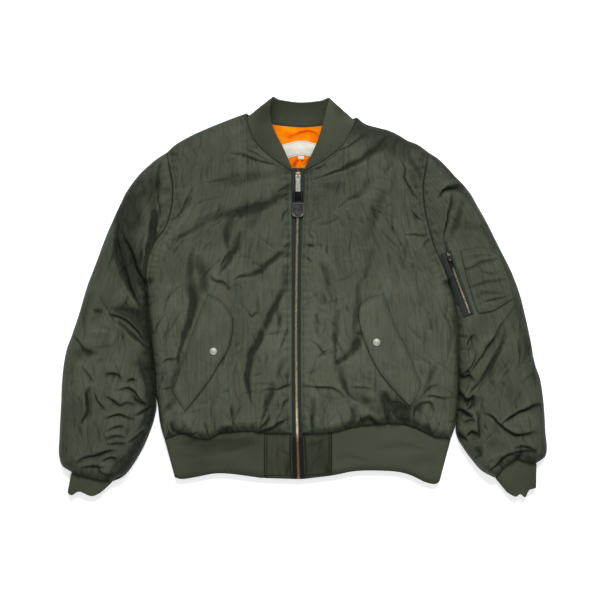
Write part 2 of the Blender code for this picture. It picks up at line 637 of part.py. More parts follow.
def sleeve_grid(side, across, down):
    """A sleeve's points in the plane. Row 0 is the armhole and column 0 the outer edge."""
    lines = LINES[side]
    s, t = np.array(across), np.array(down)
    head, end = at_shares(lines["armhole"], s), at_shares(lines["sleeve_end"], s)
    outer, inner = at_shares(lines["outseam"], t), at_shares(lines["inseam"], t)
    return blend(head, end, outer, inner, s[None, :, None], t[:, None, None])


def across_back(pair):
    """Points across the back's lower edge, from the right side to the left one."""
    right, left = pair
    middle = np.array([right[-1], left[-1]])
    return along([right, middle, left[::-1]], [0, *BACK_ZIP_KNOTS, 1], np.array(BACK_ACROSS))


def back_grid():
    """The back's points in the plane, from the right side seam to the left one."""
    right, left = LINES["right"], LINES["left"]
    upper = [1 - CORNER * share for share in reversed(UNDER_ACROSS)]
    us, vs = np.array(BACK_ACROSS), np.array(BACK_BELOW + upper)
    hem = across_back([right["hem"], left["hem"]])
    top = along(
        [right["shoulder"][::-1], BACK_NECK_LINE, left["shoulder"]], [0, *BACK_CORNERS, 1], us
    )
    sides = [along([s["side"][::-1], s["armhole"][::-1]], [0, CORNER, 1], vs) for s in (right, left)]
    return blend(hem, top, *sides, us[None, :, None], vs[:, None, None])


def make_shell():
    """Fronts, back and the two halves of each sleeve."""
    panels = {}
    for side in CURVES:
        panels[f"front_{side}"] = trim(*top_sheet(front_grid(side), side, "body"))
        grid = sleeve_grid(side, ACROSS_SLEEVE, DOWN_SLEEVE)
        panels[f"sleeve_{side}_top"] = trim(*top_sheet(grid, side, "sleeve"))
        grid = sleeve_grid(side, UNDER_ACROSS, UNDER_DOWN)
        edges = [inside_on_left(side, name) for name in EDGE_REACH]
        panels[f"sleeve_{side}_under"] = trim(*under_sheet(grid, edges))
    edges = [inside_on_left(side, name) for side in CURVES for name in EDGE_REACH]
    panels["back"] = trim(*under_sheet(back_grid(), edges))
    for name, (outer, inner) in panels.items():
        wall(name, outer, inner, "shell_nylon")



# ---- Knit bands


def flattened(line, shares, upper, height):
    """(outer, inner) points of one layer of a flattened knit tube, whose edges are the line's ends."""
    shares = np.asarray(shares, float)
    ahead = at_shares(line, np.minimum(shares + 0.01, 1)) - at_shares(line, np.maximum(shares - 0.01, 0))
    ahead /= np.linalg.norm(ahead, axis=1)[:, None]
    length = np.linalg.norm(np.diff(line, axis=0), axis=1).sum()
    radius = height / 2
    from_start, from_end = shares * length / radius, (1 - shares) * length / radius
    level = np.maximum(1 - from_end, 0) - np.maximum(1 - from_start, 0)
    up = np.sqrt(1 - level**2) * (1 if upper else -1)
    outer = np.column_stack([at_shares(line, shares), radius + radius * up])
    inner = outer - KNIT * np.column_stack([ahead * level[:, None], up])
    return outer, inner


def between(first, last, share, count=60):
    """A line part of the way from one line to another."""
    t = np.linspace(0, 1, count)
    return (1 - share) * at_shares(first, t) + share * at_shares(last, t)


def tube(name, outer, inner, slot):
    """A closed sleeve of cloth. Each row of points is one ring, not repeated at its end."""
    around = np.concatenate([outer, inner[::-1], outer[:1]])
    around = np.concatenate([around, around[:, :1]], axis=1).reshape(-1, 3) * MM
    rows, columns = 2 * len(outer) + 1, outer.shape[1] + 1
    bm = bmesh.new()
    bmesh.ops.create_grid(bm, x_segments=columns - 1, y_segments=rows - 1, size=1)
    for vert in bm.verts:
        column = round((vert.co.x + 1) / 2 * (columns - 1))
        row = round((vert.co.y + 1) / 2 * (rows - 1))
        vert.co = around[row * columns + column]
    bmesh.ops.remove_doubles(bm, verts=bm.verts[:], dist=1e-7)
    bmesh.ops.triangulate(bm, faces=bm.faces[:], quad_method="SHORT_EDGE")
    bmesh.ops.recalc_face_normals(bm, faces=bm.faces[:])
    return add_object(name, bm, slot, smooth_angle=60)


def make_cuff(side):
    first, last = LINES[side]["sleeve_end"], LINES[side]["cuff_end"]
    rings = []
    for share in (0.015, 0.1, 0.35, 0.65, 0.9, 1):
        line = between(first, last, share)
        top = flattened(line, ACROSS_SLEEVE, True, CUFF_HEIGHT)
        under = flattened(line, UNDER_ACROSS[::-1][1:-1], False, CUFF_HEIGHT)
        rings.append([np.concatenate(pair) for pair in zip(top, under)])
    outer, inner = (np.array([ring[k] for ring in rings]) for k in (0, 1))
    tube(f"cuff_{side}", outer, inner, "rib_knit")


def make_hem():
    """The knit band, open between its two woven ends, and those ends."""
    us = np.array(ACROSS_FRONT)
    knit, woven = us <= WOVEN_KNOT, us >= WOVEN_KNOT
    edges = {
        side: [at_x_knot(LINES[side][name], WOVEN_END[side], us, WOVEN_KNOT) for name in ("hem", "rib_bottom")]
        for side in CURVES
    }
    backs = [across_back([LINES["right"][name], LINES["left"][name]]) for name in ("hem", "rib_bottom")]
    rings = []
    for share in (0.004, 0.04, 0.25, 0.5, 0.75, 0.96, 1):
        right, left = ((1 - share) * edges[side][0] + share * edges[side][1] for side in ("right", "left"))
        back = (1 - share) * backs[0] + share * backs[1]
        rings.append(np.concatenate([
            layer(right[knit], True, "start")[:, ::-1], layer(back, False, "both")[:, 1:-1],
            layer(left[knit], True, "start"),
        ], axis=1))
    outer, inner = (np.array([ring[k] for ring in rings]) for k in (0, 1))
    wall("hem_rib", *trim(outer, inner), "rib_knit")
    for side in CURVES:
        top, foot = (edge[woven] for edge in edges[side])
        grid = np.array([(1 - share) * top + share * foot for share in (0.004, 0.3, 0.7, 1)])
        outer = np.dstack([grid, np.full(grid.shape[:2], HEM_HEIGHT)])
        wall(f"hem_end_{side}", *trim(outer, outer - [0, 0, KNIT]), "shell_nylon")


def layer(points, upper, end):
    """(outer, inner) of one layer of the hem band through these points, rounded over at its side edges."""
    steps = np.diff(points, axis=0)
    run = np.concatenate([[0], np.cumsum(np.linalg.norm(steps, axis=1))])
    ahead = np.gradient(points, axis=0)
    ahead /= np.linalg.norm(ahead, axis=1)[:, None]
    radius = HEM_HEIGHT / 2
    level = -np.maximum(1 - run / radius, 0)
    if end == "both":
        level += np.maximum(1 - (run[-1] - run) / radius, 0)
    up = np.sqrt(1 - level**2) * (1 if upper else -1)
    outer = np.column_stack([points, radius + radius * up])
    return np.array([outer, outer - KNIT * np.column_stack([ahead * level[:, None], up])])


def make_collar():
    """The knit band round the neck. Its front falls inwards and its back leans out behind."""
    neck_shares = [(u - CORNER) / (1 - CORNER) for u in ACROSS_FRONT if u >= CORNER]
    back_shares = [
        (u - BACK_CORNERS[0]) / (BACK_CORNERS[1] - BACK_CORNERS[0])
        for u in BACK_ACROSS if BACK_CORNERS[0] < u < BACK_CORNERS[1]
    ]
    back_shares = sorted(back_shares + [0.05, 0.95])
    seam, where = [], []
    for side, turn in (("right", -1), (None, 1), ("left", 1)):
        if side:
            flat = at_shares(LINES[side]["neck"][::-1], neck_shares)[::turn]
            height = surface(flat, side, "body")[0]
            span = (0, 0.38) if side == "right" else (0.62, 1)
            local = np.array(neck_shares)[::turn]
            local = 1 - local if side == "right" else local
        else:
            flat = at_shares(BACK_NECK_LINE, back_shares)
            height = under_height(flat)
            span, local = (0.38, 0.62), np.array(back_shares)
        seam.append(np.column_stack([flat, height]))
        where.append(span[0] + (span[1] - span[0]) * local)
    seam, where = np.concatenate(seam), np.concatenate(where)
    edge_rows = np.array(COLLAR_EDGE, float)
    fine = smooth(edge_rows, 8)
    free = np.column_stack([np.interp(where, fine[:, 0], fine[:, k]) for k in (1, 2, 3)])
    rounded = seam.copy()
    for _ in range(2):
        rounded[1:-1] = (rounded[:-2] + 2 * rounded[1:-1] + rounded[2:]) / 4
    rounded += COLLAR_CORNER_GAP * (free - rounded) / np.linalg.norm(free - rounded, axis=1)[:, None]
    near = np.exp(-((np.minimum(np.abs(where - 0.38), np.abs(where - 0.62)) / 0.035) ** 2))[:, None]
    seam = seam * (1 - near) + rounded * near
    steps = np.array([0.012, 0.06, 0.3, 0.6, 0.9, 1])[:, None, None]
    outer = (1 - steps) * seam[None] + steps * free[None]
    normal = np.cross(np.gradient(outer, axis=0), np.gradient(outer, axis=1))
    normal /= np.linalg.norm(normal, axis=2)[:, :, None]
    outer = outer + COLLAR_BULGE * np.sin(steps * math.pi) * normal
    outer[..., 2] = np.maximum(outer[..., 2], 0)
    normal = np.cross(np.gradient(outer, axis=0), np.gradient(outer, axis=1))
    normal /= np.linalg.norm(normal, axis=2)[:, :, None]
    wall("collar", outer, outer - KNIT * normal, "rib_knit")


def under_height(points):
    """The height of the back's underside."""
    edges = [inside_on_left(side, name) for side in CURVES for name in EDGE_REACH]
    gap = np.min([nearest(points, line)[0] for line in edges], axis=0)
    return SIDE_SEAM_HEIGHT * (1 - quarter_round(gap / UNDER_ROLL))


# ---- Pieces that lie on a panel


def ground(*names):
    """The panels' own surfaces, to lay things on."""
    trees = []
    for name in names:
        mesh = bpy.data.objects[name].data
        points = [vert.co[:] for vert in mesh.vertices]
        trees.append(BVHTree.FromPolygons(points, [tuple(face.vertices) for face in mesh.polygons]))
    return trees


def height_on(trees, points):
    """The height of the highest panel at each point of the plane, in millimetres."""
    found = []
    for x, y in points:
        hits = [tree.ray_cast(Vector((x * MM, y * MM, 1)), Vector((0, 0, -1)))[0] for tree in trees]
        found.append(max(hit.z for hit in hits if hit is not None) / MM)
    return np.array(found)


def laid_on(trees, grid, lift, thickness):
    """(outer, inner) points of a sheet that lies on the panels."""
    height = height_on(trees, grid.reshape(-1, 2)).reshape(grid.shape[:2])
    inner = np.dstack([grid, height + lift])
    return inner + [0, 0, thickness], inner


def make_flap(side):
    edges = {name: smooth(rows) for name, rows in FLAPS[side].items()}
    across, down = np.linspace(0, 1, 6), np.linspace(0, 1, 11)
    grid = blend(
        at_shares(edges["top"], across), at_shares(edges["foot"], across),
        at_shares(edges["hinge"], down), at_shares(edges["free"], down),
        across[None, :, None], down[:, None, None],
    )
    outer, inner = laid_on(ground(f"front_{side}"), grid, FLAP_LIFT, FLAP_THICKNESS)
    wall(f"pocket_flap_{side}", outer, inner, "shell_nylon")
    make_snap(side, height_on(ground(f"pocket_flap_{side}"), [SNAPS[side]])[0])


def make_snap(side, floor):
    """A dished cap with a rolled rim, spun from its profile."""
    profile = [
        (0, 0.3), (SNAP_RADIUS - 1, 0.3), (SNAP_RADIUS, 0.9), (SNAP_RADIUS, SNAP_HEIGHT - 0.6),
        (SNAP_RADIUS - 0.5, SNAP_HEIGHT), (SNAP_RADIUS - SNAP_RIM + 0.4, SNAP_HEIGHT),
        (SNAP_RADIUS - SNAP_RIM, SNAP_HEIGHT - SNAP_DISH), (0, SNAP_HEIGHT - SNAP_DISH + 0.3),
    ]
    bm = spun(profile, 20)
    bmesh.ops.translate(bm, verts=bm.verts[:], vec=Vector((*SNAPS[side], floor)) * MM)
    add_object(f"snap_{side}", bm, "nickel", smooth_angle=35)


def spun(profile, steps):
    """A closed solid of revolution about Z from (radius, height) rows, in millimetres."""
    bm = bmesh.new()
    verts = [bm.verts.new((radius * MM, 0, height * MM)) for radius, height in profile]
    edges = [bm.edges.new(pair) for pair in zip(verts, verts[1:])]
    bmesh.ops.spin(
        bm, geom=verts + edges, cent=(0, 0, 0), axis=(0, 0, 1), angle=math.tau, steps=steps, use_merge=True
    )
    bmesh.ops.remove_doubles(bm, verts=bm.verts[:], dist=1e-6)
    bmesh.ops.recalc_face_normals(bm, faces=bm.faces[:])
    return bm


def make_sleeve_pocket():
    trees = ground("sleeve_left_top", "front_left")
    edges = {name: smooth(rows) for name, rows in POCKET.items()}
    across, down = np.linspace(0, 1, 12), np.linspace(0, 1, 13)
    grid = blend(
        at_shares(edges["top"], across), at_shares(edges["foot"], across),
        at_shares(edges["inner"], down), at_shares(edges["outer"], down),
        across[None, :, None], down[:, None, None],
    )
    wall("sleeve_pocket", *laid_on(trees, grid, POCKET_LIFT, POCKET_THICKNESS), "shell_nylon")
    line = at_shares(smooth(SLEEVE_ZIP), np.linspace(0, 1, 13))
    ahead = np.gradient(line, axis=0)
    ahead /= np.linalg.norm(ahead, axis=1)[:, None]
    square = np.column_stack([-ahead[:, 1], ahead[:, 0]])
    across = np.linspace(-SLEEVE_TAPE_HALF, SLEEVE_TAPE_HALF, 7)
    grid = line[:, None] + across[None, :, None] * square[:, None]
    outer, inner = laid_on(trees, grid, POCKET_LIFT, SLEEVE_TAPE_THICKNESS)
    wall("sleeve_zip_tape", outer, inner, "zip_tape")
    chain = line[1:-1, None] + np.array([-1, 0, 1])[None, :, None] * SLEEVE_CHAIN_HALF * square[1:-1, None]
    outer, inner = laid_on(ground("sleeve_zip_tape"), chain, 0.3, SLEEVE_CHAIN_HEIGHT)
    wall("sleeve_zip_chain", outer[2:], inner[2:], "brass")
    make_pull("sleeve_zip", sleeve_zip_frame(), SMALL, 0.3 + SLEEVE_CHAIN_HEIGHT, None, SMALL_BAR_LENGTH)


def make_lining():
    """The lining at the back of the neck, its woven label and the size tag under that."""
    shares = np.linspace(0, 1, 11)
    neck = at_shares(BACK_NECK_LINE, 0.08 + 0.84 * shares) - [0, 3]
    foot = np.column_stack([(2 * shares - 1) * LINING["half_width"], np.full(11, LINING["foot"])])
    down = np.linspace(0, 1, 12)
    grid = (1 - down)[:, None, None] * neck[None] + down[:, None, None] * foot[None]
    swell = np.sin(shares * math.pi)[None] ** 0.6 * np.sin(np.minimum(down * 1.6, 1) * math.pi / 2)[:, None]
    arch = np.exp(-(((down - 0.30)[:, None] - 0.16 * (2 * shares - 1)[None] ** 2) / 0.05) ** 2)
    edge = 1 - np.exp(-((1 - down)[:, None] / 0.1) ** 2)
    floor = height_on(ground("back"), grid.reshape(-1, 2)).reshape(grid.shape[:2])
    height = floor + LINING["lift"] + swell * edge * (LINING["swell"] + 2.5 * arch)
    inner = np.dstack([grid, height])
    wall("lining_back", inner + [0, 0, LINING["thickness"]], inner, "lining_nylon")
    trees = ground("lining_back")
    top, bottom = smooth(LABEL["top"]), smooth(LABEL["foot"])
    across = np.linspace(0, 1, 11)
    rows = np.linspace(0, 1, 6)[:, None, None]
    grid = (1 - rows) * at_shares(top, across)[None] + rows * at_shares(bottom, across)[None]
    wall("label", *laid_on(trees, grid, 0.6, LABEL_THICKNESS), "label_cloth")
    x, y, width, height = SIZE_TAG
    grid = np.array([[(x + u * width, y + v * height) for u in (-0.5, 0, 0.5)] for v in (-0.2, -0.6, -1)])
    wall("size_tag", *laid_on(trees, grid, 0.6, LABEL_THICKNESS), "label_cloth")


# ---- The zips


def zip_strip(name, columns, ends, lift, thickness, slot):
    """A strip of the main zip, which rises and falls with the front edges."""
    ys = [y for y, _ in ZIP_PROFILE if ends[0] + 4 < y < ends[1] - 4]
    ys = np.array([ends[0], *ys, ends[1]], float)
    ys = np.interp(np.linspace(0, len(ys) - 1, 3 * len(ys) - 2), range(len(ys)), ys)
    height = zip_height(ys)[:, None] + lift
    xs = np.array(columns, float)[None]
    outer = np.dstack([xs + 0 * height, ys[:, None] + 0 * xs, height + 0 * xs])
    wall(name, outer, outer - [0, 0, thickness], slot)


def make_zip():
    reach = ZIP_HALF_WIDTH - SEAM_GAP
    clear = CHAIN_HALF_WIDTH + RUNNING_GAP / 2
    for side, columns in (("right", (-reach, -clear)), ("left", (clear, reach))):
        xs = [ZIP_X + x for x in columns]
        zip_strip(f"zip_tape_{side}", xs, (ZIP_BOTTOM, ZIP_TOP), -TAPE_SINK, TAPE_THICKNESS, "zip_tape")
    chain = [ZIP_X - CHAIN_HALF_WIDTH, ZIP_X, ZIP_X + CHAIN_HALF_WIDTH]
    zip_strip("zip_chain", chain, (ZIP_BOTTOM + BOX_LENGTH + 1, CHAIN_TOP), CHAIN_RISE, CHAIN_DEPTH, "brass")
    make_box()
    make_pull("zip", zip_frame(), 1.0, CHAIN_RISE, CHAIN_RISE - CHAIN_DEPTH, BAR_LENGTH)
    make_grip()


def make_box():
    """The bottom box: jaws over and under the tapes' ends, joined between them."""
    middle = (ZIP_X, ZIP_BOTTOM + BOX_LENGTH / 2, zip_height(ZIP_BOTTOM) + CHAIN_RISE - CHAIN_DEPTH / 2)
    tape = zip_height(ZIP_BOTTOM) - TAPE_SINK - TAPE_THICKNESS / 2
    box = block((BOX_WIDTH, BOX_LENGTH, CHAIN_DEPTH + 1), middle, 0.6)
    cuts = [
        block(
            (ZIP_HALF_WIDTH, BOX_LENGTH + 4, TAPE_THICKNESS + 0.8),
            (ZIP_X + way * (CHAIN_HALF_WIDTH + ZIP_HALF_WIDTH / 2 - RUNNING_GAP / 2), middle[1], tape),
        )
        for way in (-1, 1)
    ]
    joined("zip_box", [box], "brass", Matrix(), cuts=cuts)


def zip_frame():
    """The main slider's frame: its post stands just past the chain's top end."""
    y = CHAIN_TOP + RUNNING_GAP + POST_LENGTH - SLIDER_LENGTH / 2
    return Matrix.Translation(Vector((ZIP_X, y, zip_height(y))) * MM)


def plate_top(chain_top, scale):
    return chain_top + RUNNING_GAP + SLIDER_PLATE * scale


def hinge_frame(frame, chain_top, scale):
    """The frame of a pull's hinge, inside its slider's crown."""
    rise = plate_top(chain_top, scale) + CROWN_INSIDE * scale / 2
    return frame @ Matrix.Translation(Vector((0, 0, rise)) * MM)


def make_pull(name, frame, scale, chain_top, chain_foot, bar_length):
    """A slider with its crown, and the bar that hinges in it. A chain_foot of None has no lower plate."""
    k, top = scale, plate_top(chain_top, scale)
    foot = chain_top - SLEEVE_CHAIN_HEIGHT
    if chain_foot is not None:
        foot = chain_foot - RUNNING_GAP - SLIDER_PLATE * k
    length, width = SLIDER_LENGTH * k, SLIDER_WIDTH * k
    plate = block((width, length, SLIDER_PLATE * k), (0, 0, top - SLIDER_PLATE * k / 2), 0.35)
    post_y, post_top = length / 2 - POST_LENGTH * k / 2, top - 0.2
    post = block((POST_WIDTH * k, POST_LENGTH * k, post_top - foot), (0, post_y, (post_top + foot) / 2))
    pieces = [plate, post]
    if chain_foot is not None:
        pieces.append(block((width, length, SLIDER_PLATE * k), (0, 0, foot + SLIDER_PLATE * k / 2)))
    crown_height = (CROWN_INSIDE + CROWN_STRAP) * k + 0.2
    crown = (CROWN_WIDTH * k, CROWN_SPAN * k, crown_height)
    pieces.append(block(crown, (0, 0, post_top + crown_height / 2), 0.3))
    window = block(
        (CROWN_WIDTH * k + 2, (CROWN_SPAN - 2 * CROWN_STRAP) * k, CROWN_INSIDE * k),
        (0, 0, top + CROWN_INSIDE * k / 2),
    )
    joined(f"{name}_slider", pieces, "brass", frame, cuts=[window])
    bm = bmesh.new()
    turned = Matrix.Rotation(math.pi / 2, 4, "Y")
    bmesh.ops.create_cone(
        bm, cap_ends=True, segments=14, radius1=PIN_RADIUS * k * MM, radius2=PIN_RADIUS * k * MM,
        depth=(BAR_WIDTH - 0.6) * k * MM, matrix=turned,
    )
    arm = (BAR_WIDTH - CROWN_WIDTH) * k / 2 - RUNNING_GAP
    pieces = [bm]
    for way in (-1, 1):
        middle = (way * (BAR_WIDTH * k - arm) / 2, (PIN_RADIUS - EYE_REACH - 1) * k / 2, 0)
        pieces.append(block((arm, (PIN_RADIUS + EYE_REACH + 1) * k, BAR_THICKNESS * k), middle))
    middle = (0, -(EYE_REACH * k + bar_length) / 2, 0)
    pieces.append(block((BAR_WIDTH * k, bar_length - EYE_REACH * k, BAR_THICKNESS * k), middle, 0.35))
    joined(f"{name}_pull", pieces, "nickel", hinge_frame(frame, chain_top, k))


def make_grip():
    """The leather strap and the moulded grip that follow the main pull's bar."""
    frame = hinge_frame(zip_frame(), CHAIN_RISE, 1.0)
    middle = -(BAR_LENGTH + 0.3 + TAB_LENGTH / 2)
    strap = block((TAB_WIDTH, TAB_LENGTH, TAB_THICKNESS), (0, middle, 0), 0.7)
    joined("pull_strap", [strap], "black_leather", frame)
    top = -(BAR_LENGTH + TAB_LENGTH + 0.6)
    corner = GRIP_WIDTH * 0.3
    arcs = []
    for way, angles in ((1, np.linspace(0, math.pi / 2, 6)), (-1, np.linspace(math.pi / 2, 0, 6))):
        for angle in angles:
            x = GRIP_WIDTH / 2 - corner + corner * math.cos(angle)
            arcs.append((way * x, top - GRIP_LENGTH + corner - corner * math.sin(angle)))
    outline = [(GRIP_WIDTH / 2 - 1.5, top), *arcs, (1.5 - GRIP_WIDTH / 2, top)]
    bm = plate(outline, -GRIP_THICKNESS / 2, GRIP_THICKNESS / 2, 1.1)
    joined("pull_grip", [bm], "grey_rubber", frame)


def sleeve_zip_frame():
    """The pocket slider's frame, lying on the tape near its upper end."""
    line = smooth(SLEEVE_ZIP)
    top, foot = at_shares(line, [0.03, 0.16])
    trees = ground("sleeve_zip_tape")
    ends = [Vector((*point, height_on(trees, [point])[0])) for point in (foot, top)]
    up = (ends[1] - ends[0]).normalized()
    middle = (ends[0] + ends[1]) / 2
    across = up.cross(Vector((0, 0, 1))).normalized()
    turn = Matrix((across, up, across.cross(up))).transposed().to_4x4()
    return Matrix.Translation(middle * MM) @ turn


def build():
    clear_scene()
    make_shell()
    for side in CURVES:
        make_cuff(side)
        make_flap(side)
    make_hem()
    make_collar()
    make_lining()
    make_sleeve_pocket()
    make_zip()


build()
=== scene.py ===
"""The looks of a padded nylon bomber jacket, laid flat on its back with its zip closed.

Tables are in millimetres in the part's own frame: +X towards the wearer's left sleeve, +Y towards the
neck and +Z up out of the front. "right" and "left" are the wearer's, so the right sleeve is at -X.
"""

import math
from collections import namedtuple

import bmesh
import bpy
import numpy as np
from mathutils import Matrix, Vector
from mathutils.bvhtree import BVHTree


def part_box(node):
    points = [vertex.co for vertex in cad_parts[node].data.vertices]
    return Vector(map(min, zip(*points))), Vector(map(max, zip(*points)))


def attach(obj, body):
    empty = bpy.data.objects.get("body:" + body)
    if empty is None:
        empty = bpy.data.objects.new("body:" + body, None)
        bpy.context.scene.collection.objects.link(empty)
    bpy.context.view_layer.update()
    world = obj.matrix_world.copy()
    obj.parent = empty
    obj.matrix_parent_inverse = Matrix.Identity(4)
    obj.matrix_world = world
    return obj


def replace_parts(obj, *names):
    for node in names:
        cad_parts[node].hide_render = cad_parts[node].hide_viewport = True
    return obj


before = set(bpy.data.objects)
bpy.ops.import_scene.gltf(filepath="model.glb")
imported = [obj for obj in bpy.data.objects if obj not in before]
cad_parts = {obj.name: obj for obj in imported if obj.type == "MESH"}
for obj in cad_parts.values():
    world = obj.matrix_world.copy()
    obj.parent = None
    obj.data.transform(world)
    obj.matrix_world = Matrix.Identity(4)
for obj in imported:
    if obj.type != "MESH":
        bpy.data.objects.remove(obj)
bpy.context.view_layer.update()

MM = 0.001

# ---- Sizes shared with the solids, in millimetres
SHELL = 3.0  # nylon, wadding and lining together
KNIT = 3.6  # doubled rib knit
SEAM_GAP = 0.4
SIDE_SEAM_HEIGHT = 9.0
UNDER_ROLL = 9.0
BODY_CROWN = 33.0
SLEEVE_CROWN = 40.0
SLEEVE_RISE = 90.0
OUTLINE_REACH = 38.0
ARMPIT_REACH = 20.0
ARMHOLE_DROP, ARMHOLE_REACH = 3.0, 12.0
HEM_HEIGHT, HEM_REACH = 15.0, 20.0
CUFF_HEIGHT, CUFF_REACH = 17.0, 24.0
ZIP_REACH = 36.0
NECK_DROP, NECK_REACH = 2.5, 14.0

ZIP_TOP, ZIP_BOTTOM = 248.0, -366.0
HEM_AT_ZIP = -276.0
TAPE_THICKNESS = 1.2
TAPE_SINK = 0.6
CHAIN_RISE, CHAIN_DEPTH = 0.9, 3.0
CHAIN_TOP = 243.0
TAPE_TOP = ZIP_TOP + 7.0  # the tapes end above the chain
TAPE_CLEAR = 2.75  # from the middle of the zip to the tapes
HEM_DEPTH, COLLAR_DEPTH = 88.0, 66.0

# ---- Outline curves, from the neck down. Columns: x, y

CURVES = {
    "right": {
        "shoulder": [(-113, 366), (-146, 354), (-186, 338), (-222, 322), (-254, 304), (-272, 288)],
        "outseam": [
            (-272, 288), (-298, 270), (-328, 242), (-352, 210), (-368, 178), (-396, 114), (-414, 66),
            (-432, 18), (-446, -30), (-462, -78), (-474, -112), (-481, -160), (-484, -222),
            (-487, -280), (-488, -316), (-481, -340), (-464, -352),
        ],
        "armhole": [
            (-272, 288), (-266, 256), (-259, 214), (-263, 168), (-276, 132), (-296, 106), (-309, 70),
            (-314, 24),
        ],
        "side": [
            (-314, 24), (-312, -8), (-308, -48), (-303, -98), (-298, -148), (-294, -196), (-290, -222),
            (-286, -254), (-278, -286),
        ],
        "inseam": [
            (-314, 24), (-312, -8), (-308, -48), (-303, -98), (-298, -148), (-294, -196), (-293, -222),
            (-298, -248), (-307, -274), (-321, -306), (-340, -338), (-358, -360), (-380, -371),
        ],
        "sleeve_end": [(-464, -352), (-440, -359), (-410, -367), (-380, -371)],
        "hem": [
            (-278, -286), (-262, -281), (-240, -275), (-218, -282), (-188, -286), (-164, -275),
            (-110, -270), (-78, -274), (-20.6, -276),
        ],
        "neck": [(-22, 248), (-60, 273), (-88, 298), (-102, 318), (-110, 344), (-113, 366)],
        "cuff_end": [(-472, -393), (-462, -398), (-447, -391), (-424, -400), (-408, -395), (-396, -386)],
        "rib_bottom": [
            (-257, -363), (-240, -366), (-214, -362), (-176, -355), (-142, -356), (-96, -362),
            (-78, -364), (-18, -366),
        ],
    },
    "left": {
        "shoulder": [
            (108, 358), (124, 345), (150, 337), (170, 332), (190, 323), (210, 311), (230, 303), (252, 287),
        ],
        "outseam": [
            (252, 287), (274, 272), (302, 242), (332, 209), (350, 178), (368, 146), (392, 98), (416, 50),
            (434, 2), (446, -46), (456, -94), (464, -136), (475, -170), (482, -222), (485, -270),
            (488, -302), (484, -322), (468, -334),
        ],
        "armhole": [
            (252, 287), (244, 252), (239, 212), (243, 168), (252, 130), (262, 96), (279, 58), (292, 24),
        ],
        "side": [
            (292, 24), (301, -8), (306, -48), (309, -98), (310, -148), (310, -198), (307, -238),
            (303, -264), (297, -284),
        ],
        "inseam": [
            (292, 24), (301, -8), (306, -48), (309, -98), (310, -148), (310, -198), (307, -238),
            (305, -264), (309, -284), (320, -303), (338, -328), (358, -350), (384, -364),
        ],
        "sleeve_end": [(468, -334), (448, -332), (426, -328), (406, -340), (384, -364)],
        "hem": [
            (297, -284), (262, -281), (234, -268), (200, -257), (160, -256), (110, -261), (58, -273),
            (-3.2, -276),
        ],
        "neck": [(2, 248), (38, 267), (64, 286), (82, 304), (98, 334), (108, 358)],
        "cuff_end": [(467, -384), (452, -388), (444, -402), (434, -396), (424, -401), (407, -392)],
        "rib_bottom": [
            (274, -370), (264, -376), (244, -372), (214, -358), (184, -351), (134, -349), (98, -351),
            (58, -359), (0.6, -366),
        ],
    },
}
BACK_NECK = [(-113, 366), (-96, 357), (-64, 347), (-6, 341), (40, 344), (78, 350), (108, 358)]
WOVEN_END = {"right": -78, "left": 58}  # where the rib stops and the woven band end starts
WOVEN_KNOT = 0.83  # the share of a front's lower edge where that falls
COLLAR_BULGE = 2.5
COLLAR_CORNER_GAP = 2.0  # from the shoulder seams, where the band turns from front to back

# The height of the zip along its length. Columns: y, height
ZIP_PROFILE = [(-370, 14.5), (-290, 15), (-262, 19), (-225, 24), (-150, 26), (0, 25), (150, 27), (252, 26)]

# The zip wanders a little in its seams. Columns: y, middle of the chain, edge of each front
ZIP_LINE = [
    (-366, -8.8, -18.0, 0.6), (-300, -10.6, -19.8, -2.4), (-276, -11.4, -20.6, -3.2),
    (-208, -12.8, -21.6, -4.4),
    (-108, -13.8, -21.8, -4.8), (-10, -13.6, -21.8, -4.8), (60, -12.8, -21.6, -4.6),
    (130, -11.4, -21.6, -3.2),
    (170, -10.4, -21.8, 0.0), (200, -10.0, -22.0, 2.0), (252, -10.0, -22.0, 2.0),
]

# The free edge of the knit collar, from the right front end round the back. Columns: share, x, y, height
COLLAR_EDGE = [
    (0.00, -23, 259, 27), (0.12, -42, 300, 33), (0.22, -56, 328, 35), (0.30, -64, 352, 34),
    (0.36, -65, 378, 31), (0.40, -60, 397, 26), (0.44, -46, 392, 22), (0.50, -6, 387, 19),
    (0.56, 34, 390, 22), (0.60, 52, 395, 26), (0.64, 47, 374, 31), (0.70, 40, 346, 34),
    (0.78, 30, 312, 35), (0.88, 17, 282, 33), (1.00, 5, 259, 27),
]

# Pocket flaps: the four edges, each from the top or the right side. Columns: x, y
FLAPS = {
    "right": {
        "top": [(-188, 2), (-164, -10), (-148, -30), (-140, -46)],
        "free": [
            (-140, -46), (-142, -79), (-152, -110), (-168, -136), (-186, -167), (-210, -198), (-234, -228),
        ],
        "foot": [(-259, -188), (-246, -210), (-234, -228)],
        "hinge": [(-188, 2), (-210, -48), (-228, -102), (-244, -148), (-259, -188)],
    },
    "left": {
        "top": [(159, 3), (132, -4), (115, -18), (111, -38)],
        "free": [(111, -38), (114, -61), (126, -98), (142, -133), (159, -160), (186, -192), (212, -218)],
        "foot": [(235, -178), (224, -200), (212, -218)],
        "hinge": [(159, 3), (186, -68), (204, -102), (221, -144), (235, -178)],
    },
}
FLAP_SPINE = {
    "right": [(-174, -24), (-196, -110), (-236, -200)],
    "left": [(134, -22), (166, -112), (214, -190)],
}
FLAP_HALF_WIDTH = 30.0  # the front is nearly smooth this far from a flap's spine
FLAP_LIFT, FLAP_THICKNESS = 0.5, 2.2
SNAPS = {"right": (-178, -110), "left": (146, -92)}
SNAP_RADIUS, SNAP_HEIGHT = 7.5, 2.4

